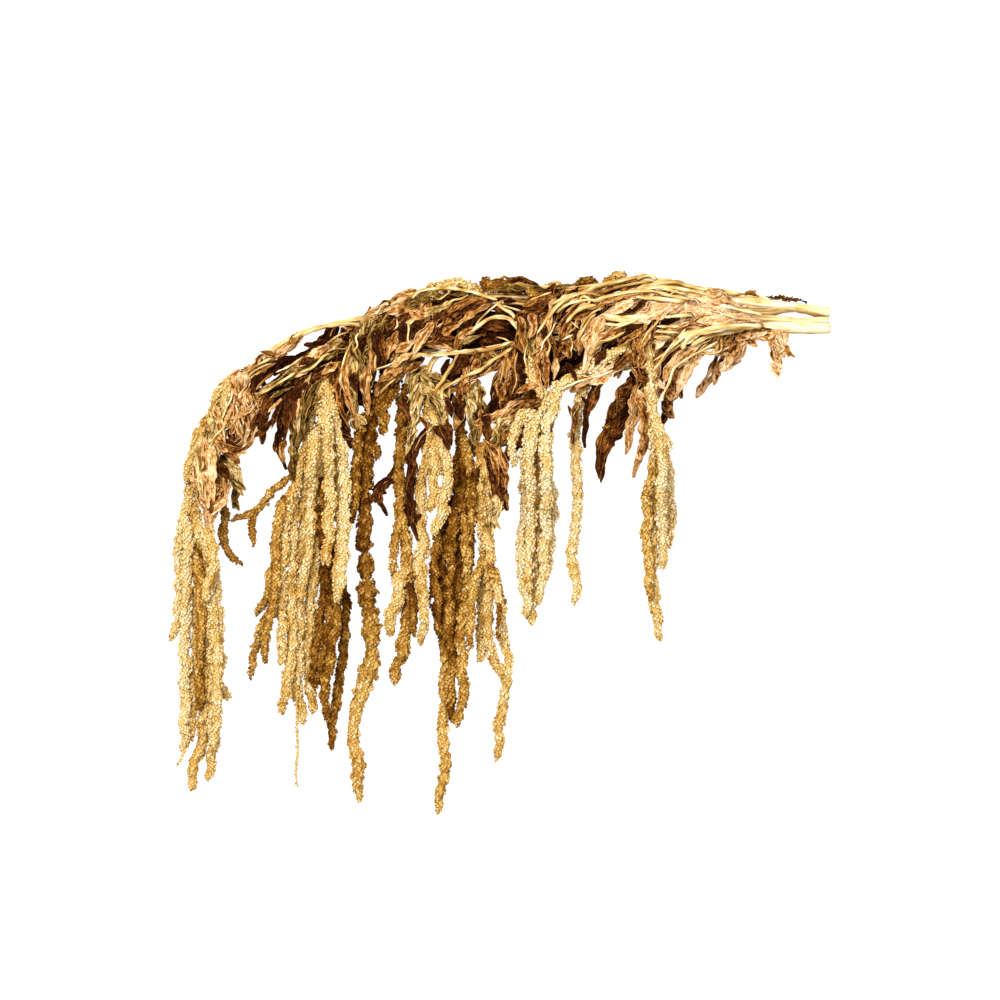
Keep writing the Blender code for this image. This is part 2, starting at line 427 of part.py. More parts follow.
class Field:
    """Height of everything laid so far over the surface, on a square grid."""

    def __init__(self):
        self.nx = int(2 * FIELD_X / CELL) + 1
        self.ny = int(2 * FIELD_Y / CELL) + 1
        self.top = np.zeros((self.nx, self.ny))

    def copy(self):
        """A field of its own with the same heights."""
        twin = Field()
        twin.top[:] = self.top
        return twin

    def read(self, x, y):
        """Highest of the four grid heights round each point."""
        i = np.clip((np.asarray(x) + FIELD_X) / CELL, 0, self.nx - 1.001)
        j = np.clip((np.asarray(y) + FIELD_Y) / CELL, 0, self.ny - 1.001)
        i0 = i.astype(int)
        j0 = j.astype(int)
        low = np.maximum(self.top[i0, j0], self.top[i0 + 1, j0])
        return np.maximum(low, np.maximum(self.top[i0, j0 + 1], self.top[i0 + 1, j0 + 1]))

    def cover(self, verts, faces):
        """Raise the grid to the top of a mesh, triangle by triangle."""
        for f in faces:
            for k in range(1, len(f) - 1):
                a, b, c = verts[f[0]], verts[f[k]], verts[f[k + 1]]
                lo = np.floor((np.minimum(np.minimum(a, b), c)[:2] + [FIELD_X, FIELD_Y]) / CELL).astype(int)
                hi = np.ceil((np.maximum(np.maximum(a, b), c)[:2] + [FIELD_X, FIELD_Y]) / CELL).astype(int)
                lo = np.maximum(lo, 0)
                hi = np.minimum(hi, [self.nx - 1, self.ny - 1])
                gx = (np.arange(lo[0], hi[0] + 1) * CELL - FIELD_X)[:, None]
                gy = (np.arange(lo[1], hi[1] + 1) * CELL - FIELD_Y)[None, :]
                area = (b[0] - a[0]) * (c[1] - a[1]) - (c[0] - a[0]) * (b[1] - a[1])
                if abs(area) < 1e-6:
                    continue
                u = ((gx - a[0]) * (c[1] - a[1]) - (c[0] - a[0]) * (gy - a[1])) / area
                v = ((b[0] - a[0]) * (gy - a[1]) - (gx - a[0]) * (b[1] - a[1])) / area
                widest = max(1.0, np.ptp([a[0], b[0], c[0]]), np.ptp([a[1], b[1], c[1]]))
                slack = 0.5 * CELL * widest / abs(area)
                slack = min(slack, 0.5)
                inside = (u >= -slack) & (v >= -slack) & (u + v <= 1 + slack)
                z = a[2] + u * (b[2] - a[2]) + v * (c[2] - a[2])
                z = np.where(inside, np.minimum(z, max(a[2], b[2], c[2])), -1.0)
                view = self.top[lo[0]:hi[0] + 1, lo[1]:hi[1] + 1]
                np.maximum(view, z, out=view)


def stiff_line(run, need, bend):
    """Lowest line over the needed heights that bends no more than it can.

    At each place it is the greatest of every need less bend times the
    squared distance to it.
    """
    return (need[None, :] - bend * (run[:, None] - run[None, :]) ** 2).max(axis=1)


def fine_stations(xy, extra, run):
    """Points every millimetre on the straight spans between stations."""
    fine = np.arange(0, run[-1] + 0.999, 1.0)
    fine[-1] = run[-1]
    pos = np.column_stack([np.interp(fine, run, xy[:, 0]), np.interp(fine, run, xy[:, 1])])
    return fine, pos, np.interp(fine, run, extra)


def settle(run, fine, need_own, need_rest, bend, start):
    """Heights at the stations that clear every need along the spans between them.

    Without a parent the line is the stiff one over everything. With a parent
    it leaves the parent's centre line, is free to run through its own solid
    over the root run, and clears everything else all along. A span that dips
    below a need lifts the stations at its ends.
    """
    own = np.interp(run, fine, stiff_line(fine, need_own, bend))
    need = need_own
    z = own
    first = 0
    if start is not None:
        t = np.clip(run / ROOT_RUN, 0, 1)
        ease = t * t * (3 - 2 * t)
        rest = np.interp(run, fine, stiff_line(fine, need_rest, bend))
        z = np.maximum(rest, start + (own - start) * ease)
        z[0] = max(start, need_rest[0])
        need = np.where(fine < ROOT_RUN, need_rest, need_own)
        first = 1
    lift = np.zeros(len(run))
    for i in range(len(run) - 1):
        here = (fine >= run[i]) & (fine <= run[i + 1])
        part = (fine[here] - run[i]) / (run[i + 1] - run[i])
        short = need[here] - (z[i] * (1 - part) + z[i + 1] * part)
        if i == 0 and first:
            rise = np.where(part > 0.3, short / np.maximum(part, 0.3), 0)
            lift[1] = max(lift[1], rise.max())
        else:
            lift[i] = max(lift[i], short.max())
            lift[i + 1] = max(lift[i + 1], short.max())
    return z + lift


def tube_need(fine, pos, r, field):
    """Centre height that keeps a round tube just clear of a field, all along it."""
    side = side_of(pos)
    need = np.array(r)
    for u in np.linspace(-1, 1, 15):
        reach = (r + REST_GAP) * u
        h = field.read(pos[:, 0] + side[:, 0] * reach, pos[:, 1] + side[:, 1] * reach)
        over = h + (r + REST_GAP) * math.sqrt(max(0.0, 1 - u * u))
        need = np.where(h > 0.01, np.maximum(need, over), need)
    return need


def tube_mesh(xy, z, rad, sides, knob, number):
    """Rings of vertices round the centre line, each in an upright plane.

    A knobbly tube swells and shrinks by the golden angle from vertex to vertex.
    """
    side = side_of(xy)
    verts = []
    faces = []
    for i in range(len(xy)):
        for k in range(sides):
            turn = 2 * math.pi * (k + 0.5 * (i % 2 if knob else 0)) / sides + 0.4
            swell = 1 + knob * math.cos(2.39996 * (i * sides + k + 7 * number))
            r = rad[i] * swell
            out = side[i] * r * math.cos(turn)
            verts.append([xy[i, 0] + out[0], xy[i, 1] + out[1], z[i] + r * math.sin(turn)])
    for i in range(len(xy) - 1):
        for k in range(sides):
            a = i * sides + k
            b = i * sides + (k + 1) % sides
            c = a + sides
            d = b + sides
            if knob and i % 2:
                faces += [(a, b, d), (a, d, c)]
            else:
                faces += [(a, b, c), (b, d, c)]
    faces.append(tuple(range(sides))[::-1])
    last = (len(xy) - 1) * sides
    faces.append(tuple(last + k for k in range(sides)))
    return np.array(verts), faces


def leaf_shape(run, width, number):
    """Half width and the fold of a dried blade at each station.

    The half width rises fast from the stalk and falls slowly to the tip. The
    blade is creased along its midrib, and its edges wave up and down.
    """
    t = run / run[-1]
    half = 0.9 + 0.62 * width * np.sin(math.pi * t ** 0.62) ** 0.7 * (1 - 0.2 * t)
    half[-1] = 0.8
    crease = 0.30 * math.sin(2.4 * number + 0.7)
    wave = 0.20 * np.sin(2.4 * np.arange(len(run)) + number)
    left = half * (crease + wave)
    right = half * (crease - wave)
    return half, left, right


def leaf_parts(xy, run, field_own, field_rest, width, start, number):
    """Lay a creased blade over the field and build its two faces and rim."""
    half, left, right = leaf_shape(run, width * UNIT, number)
    thick = np.where(run < 6, 0.8, 0.5 * BLADE_THICK)
    fine, pos, h = fine_stations(xy, half, run)
    side = side_of(pos)
    fl = np.interp(fine, run, left)
    fr = np.interp(fine, run, right)
    under = np.interp(fine, run, thick)
    needs = []
    for field in (field_own, field_rest):
        need = under - np.minimum(np.minimum(fl, fr), 0)
        for u in np.linspace(-1, 1, 17):
            reach = (h + 0.4) * u
            fold = abs(u) * (fl if u > 0 else fr)
            h_at = field.read(pos[:, 0] + side[:, 0] * reach, pos[:, 1] + side[:, 1] * reach)
            need = np.where(h_at > 0.01, np.maximum(need, h_at - fold + under + REST_GAP), need)
        needs.append(need)
    z = settle(run, fine, needs[0], needs[1], BEND["l"], start)
    side = side_of(xy)
    verts = []
    for face in (-1, 1):
        for i in range(len(xy)):
            lift = face * thick[i]
            out = side[i] * half[i]
            verts.append([xy[i, 0] + out[0], xy[i, 1] + out[1], z[i] + left[i] + lift])
            verts.append([xy[i, 0], xy[i, 1], z[i] + lift])
            verts.append([xy[i, 0] - out[0], xy[i, 1] - out[1], z[i] + right[i] + lift])
    n = len(xy)
    faces = []
    for i in range(n - 1):
        for k in range(2):
            a, b, c, d = 3 * i + k, 3 * i + k + 1, 3 * i + k + 3, 3 * i + k + 4
            up = 3 * n
            if k:
                faces += [(a, b, c), (b, d, c), (c + up, b + up, a + up), (c + up, d + up, b + up)]
            else:
                faces += [(a, b, d), (a, d, c), (d + up, b + up, a + up), (c + up, d + up, a + up)]
        for edge, flip in ((0, False), (2, True)):
            a, c = 3 * i + edge, 3 * i + edge + 3
            ring = (a, c, c + 3 * n, a + 3 * n)
            faces.append(ring[::-1] if flip else ring)
    for i, flip in ((0, True), (n - 1, False)):
        for k in range(2):
            a, b = 3 * i + k, 3 * i + k + 1
            ring = (a, b, b + 3 * n, a + 3 * n)
            faces.append(ring if flip else ring[::-1])
    return np.array(verts), faces, z


def snap_root(points, parent):
    """Move a route's first point onto the parent's centre line, and give the height there."""
    px, pz = parent["xy"], parent["z"]
    first = np.array([(points[0][0] - PLAN_CENTRE_X) * UNIT, (PLAN_CENTRE_Y - points[0][1]) * UNIT])
    best = None
    for i in range(len(px) - 1):
        seg = px[i + 1] - px[i]
        t = float(np.clip(np.dot(first - px[i], seg) / max(np.dot(seg, seg), 1e-9), 0, 1))
        at = px[i] + t * seg
        gap = float(np.hypot(*(first - at)))
        if best is None or gap < best[0]:
            best = (gap, at, pz[i] + t * (pz[i + 1] - pz[i]))
    at = best[1]
    moved = (at[0] / UNIT + PLAN_CENTRE_X, PLAN_CENTRE_Y - at[1] / UNIT)
    return [moved] + list(points[1:]), best[2]


def seat_route(points, seat):
    """Start a route just beyond a stalk's cut-off end, in the stalk's own direction."""
    first = []
    for reach in (REST_GAP, 4.5):
        at = seat["xy"] + reach * seat["along"]
        first.append((at[0] / UNIT + PLAN_CENTRE_X, PLAN_CENTRE_Y - at[1] / UNIT))
    return first + list(points[1:])


def tube_line(kind, widths, points, rooted):
    """Stations, radii and fine samples of a stalk, spike or thread."""
    step = {"t": STALK_STEP, "s": SPIKE_STEP, "w": THREAD_STEP}[kind]
    widths = widths if isinstance(widths, tuple) else (widths, widths)
    if len(points) == len(widths) + 1:
        # A seat has added a point at the root
        widths = widths[:1] + widths
    xy, rad, run = smooth_route(points, widths, step, rooted)
    if kind == "s":
        # Slim at the root, full along its length and tapered to a blunt tip
        taper = min(TAPER_RUN, 0.55 * run[-1])
        rad = 1.07 * rad * np.minimum(1, 0.45 + 0.55 * run / 12.0)
        rad *= np.minimum(1, 0.66 + 0.34 * (run[-1] - run) / taper)
        rad[-1] *= 0.6
    swell = 1 + KNOB_HEIGHT if kind == "s" else 1
    fine, pos, r = fine_stations(xy, rad * swell, run)
    return xy, rad, run, fine, pos, r


def lay_plant(stalk, tassel, field, count):
    """Lay a stalk and its tassel over the field, and return their two lists of meshes.

    The main stem and the main spike come first. The spike is seated just beyond the
    stem's cut-off end, and the stem rises ahead for what the spike will lie on. All
    that grows on the two lies over both. An element may run through its own solid
    at its root, but never through the other one.
    """
    rows = (stalk, tassel)
    before = field.copy()
    others = (field.copy(), field.copy())
    made = ([], [])
    seat = None
    order = [(0, 0), (1, 0)] + [(0, i) for i in range(1, len(stalk))]
    order += [(1, i) for i in range(1, len(tassel))]
    for who, i in order:
        kind, parent, shade, widths, points = rows[who][i]
        number = count + who * len(stalk) + i + 1
        start = None
        rest = others[who]
        if parent >= 0:
            points, start = snap_root(points, made[who][parent])
        elif who:
            points, start, rest = seat_route(points, seat), seat["z"], before
        if kind == "l":
            xy, _, run = smooth_route(points, (1, 1), LEAF_STEP, True)
            verts, faces, z = leaf_parts(xy, run, field, rest, widths, start, number)
        else:
            xy, rad, run, fine, pos, r = tube_line(kind, widths, points, start is not None)
            need = tube_need(fine, pos, r, field)
            need_rest = tube_need(fine, pos, r, rest)
            if (who, i) == (0, 0):
                _, _, _, far, far_pos, far_r = tube_line("s", tassel[0][3], tassel[0][4], False)
                ahead = (far > 0) & (far < LOOK_AHEAD)
                need = np.append(need, tube_need(far, far_pos, far_r, field)[ahead])
                need_rest = need
                fine = np.append(fine, run[-1] + far[ahead])
            z = settle(run, fine, need, need_rest, BEND[kind], start)
            sides = {"t": STALK_SIDES, "s": SPIKE_SIDES, "w": THREAD_SIDES}[kind]
            verts, faces = tube_mesh(xy, z, rad, sides, KNOB_HEIGHT if kind == "s" else 0.0, number)
        made[who].append({"xy": xy, "z": z, "verts": verts, "faces": faces})
        field.cover(verts, faces)
        others[1 - who].cover(verts, faces)
        if (who, i) == (0, 0):
            along = (xy[-1] - xy[-2]) / np.hypot(*(xy[-1] - xy[-2]))
            seat = {"xy": xy[-1], "along": along, "z": z[-1]}
    return made


def mesh_object(name, part, collection):
    """Make a scene object, in metres, from one element's vertices and faces."""
    mesh = bpy.data.meshes.new(name)
    mesh.from_pydata([tuple(v * 0.001) for v in part["verts"]], [], part["faces"])
    tidy = bmesh.new()
    tidy.from_mesh(mesh)
    bmesh.ops.triangulate(tidy, faces=tidy.faces[:])
    bmesh.ops.recalc_face_normals(tidy, faces=tidy.faces[:])
    tidy.to_mesh(mesh)
    tidy.free()
    thing = bpy.data.objects.new(name, mesh)
    collection.objects.link(thing)
    return thing


def material_for(name, shade):
    """One plain dry-plant material for a solid."""
    look = bpy.data.materials.new(name)
    look.use_nodes = True
    shader = look.node_tree.nodes["Principled BSDF"]
    shader.inputs["Base Color"].default_value = (*SHADE[shade], 1.0)
    shader.inputs["Roughness"].default_value = 0.85
    return look


def take_shape(thing):
    """Replace an object's mesh with what its modifiers make of it."""
    ready = thing.evaluated_get(bpy.context.evaluated_depsgraph_get())
    shaped = bpy.data.meshes.new_from_object(ready)
    thing.modifiers.clear()
    thing.data = shaped


def drop_scraps(mesh):
    """Keep the large shells of a mesh, so that pinched-off scraps and sealed hollows go."""
    tidy = bmesh.new()
    tidy.from_mesh(mesh)
    bmesh.ops.triangulate(tidy, faces=tidy.faces[:])
    seen = set()
    shells = []
    for vert in tidy.verts:
        if vert in seen:
            continue
        seen.add(vert)
        shell = [vert]
        for here in shell:
            for edge in here.link_edges:
                far = edge.other_vert(here)
                if far not in seen:
                    seen.add(far)
                    shell.append(far)
        shells.append(shell)
    large = [shell for shell in shells if len(shell) > SCRAP]
    for shell in shells:
        if len(shell) <= SCRAP:
            bmesh.ops.delete(tidy, geom=shell, context="VERTS")
    open_edges = sum(1 for edge in tidy.edges if len(edge.link_faces) != 2)
    tidy.to_mesh(mesh)
    tidy.free()
    return len(large), open_edges


def fuse(name, made, shade):
    """Join a solid's elements with one Boolean union."""
    home = bpy.context.scene.collection
    base = mesh_object(name, made[0], home)
    if len(made) > 1:
        rest = bpy.data.collections.new(name + "_rest")
        home.children.link(rest)
        for i, part in enumerate(made[1:]):
            mesh_object(f"{name}_{i}", part, rest)
        join = base.modifiers.new("join", "BOOLEAN")
        join.operation = "UNION"
        join.operand_type = "COLLECTION"
        join.collection = rest
        join.solver = "MANIFOLD"
        take_shape(base)
        for thing in list(rest.objects):
            bpy.data.objects.remove(thing, do_unlink=True)
        bpy.data.collections.remove(rest)
    # The crossings leave many slivers, so the surface is thinned where it is flattest
    before = sum(sum(len(f) - 2 for f in part["faces"]) for part in made)
    drop_scraps(base.data)
    if len(base.data.polygons) > KEEP * before:
        thin = base.modifiers.new("thin", "DECIMATE")
        thin.ratio = KEEP * before / len(base.data.polygons)
        thin.use_collapse_triangulate = True
        take_shape(base)
    bodies, open_edges = drop_scraps(base.data)
    print(f"{name}: {len(base.data.polygons)} triangles of {before}, {bodies} bodies, "
          f"{open_edges} open edges")
    base.data.materials.clear()
    base.data.materials.append(material_for(name, shade))
    return base


for thing in list(bpy.data.objects):
    bpy.data.objects.remove(thing, do_unlink=True)

field = Field()
laid = []
count = 0
for (stalk_name, stalk), (tassel_name, tassel) in zip(SOLIDS[::2], SOLIDS[1::2]):
    stems, spikes = lay_plant(stalk, tassel, field, count)
    count += len(stalk) + len(tassel)
    laid += [(stalk_name, stalk[0][2], stems), (tassel_name, tassel[0][2], spikes)]

# Bring the lowest vertex down to the surface
lowest = min(part["verts"][:, 2].min() for _, _, parts in laid for part in parts)
for _, _, parts in laid:
    for part in parts:
        part["verts"][:, 2] -= lowest

for solid_name, shade, parts in laid:
    fuse(solid_name, parts, shade)
print("lowest was", round(lowest, 3), "mm, the pile is",
      round(float(field.top.max()) - lowest, 1), "mm high")
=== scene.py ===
# %% [markdown]
# # A dried bunch of hanging amaranth
#
# The object is a bunch of eleven dried stalks, cut at the right and laid flat. Each stalk
# carries crumpled leaves and ends in a tassel of long flower spikes. A spike is a soft
# thread packed with thousands of tiny dry florets, so it looks granular, not smooth.
#
# The frame holds a plain faceted solid for each stalk and each tassel. This script dresses
# every one of them with a finer mesh that keeps to the same centre lines and widths. All
# shapes are worked out as whole numpy arrays, so the same small set of formulas makes a
# hundred leaves and tens of thousands of florets in a few seconds.

import math

import bpy
import numpy as np
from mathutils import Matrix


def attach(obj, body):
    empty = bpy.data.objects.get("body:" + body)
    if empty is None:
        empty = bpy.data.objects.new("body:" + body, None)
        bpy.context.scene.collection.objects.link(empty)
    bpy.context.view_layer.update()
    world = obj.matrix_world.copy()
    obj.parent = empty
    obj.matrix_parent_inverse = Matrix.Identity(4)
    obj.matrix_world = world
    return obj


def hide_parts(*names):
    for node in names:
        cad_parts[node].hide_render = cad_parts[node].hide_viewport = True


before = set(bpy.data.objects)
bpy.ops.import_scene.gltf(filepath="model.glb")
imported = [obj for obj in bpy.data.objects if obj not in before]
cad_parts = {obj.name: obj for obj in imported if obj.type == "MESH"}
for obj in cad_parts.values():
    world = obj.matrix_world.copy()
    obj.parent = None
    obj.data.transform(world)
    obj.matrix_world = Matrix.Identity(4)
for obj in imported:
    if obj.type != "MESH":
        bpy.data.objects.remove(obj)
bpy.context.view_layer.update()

# %% [markdown]
# ## The plan
#
# Every stalk, leaf and spike of the bunch lies on what was laid before it. The plan repeats
# the routes that were chosen for the solids, seen from above, and the next cells lay them
# again by the solids' own rules. The heights could be measured on the solids instead, but
# a fused solid no longer knows where one spike ends and the next begins.
#
# A line with one word names a node. Every other line is one element: its kind (t stalk,
# s spike, w bare thread, l leaf), the number of the element that it grows on or -1, its
# shade, its half width, and its points as x,y. A plus sign carries a line on. All lengths
# are in plan units of 0.75 mm, with y towards the lower edge. A list of half widths has one
# for each point, or is spread from root to tip. After a stroke stands the half width that a
# leaf is dressed with, where that is less than its solid's.

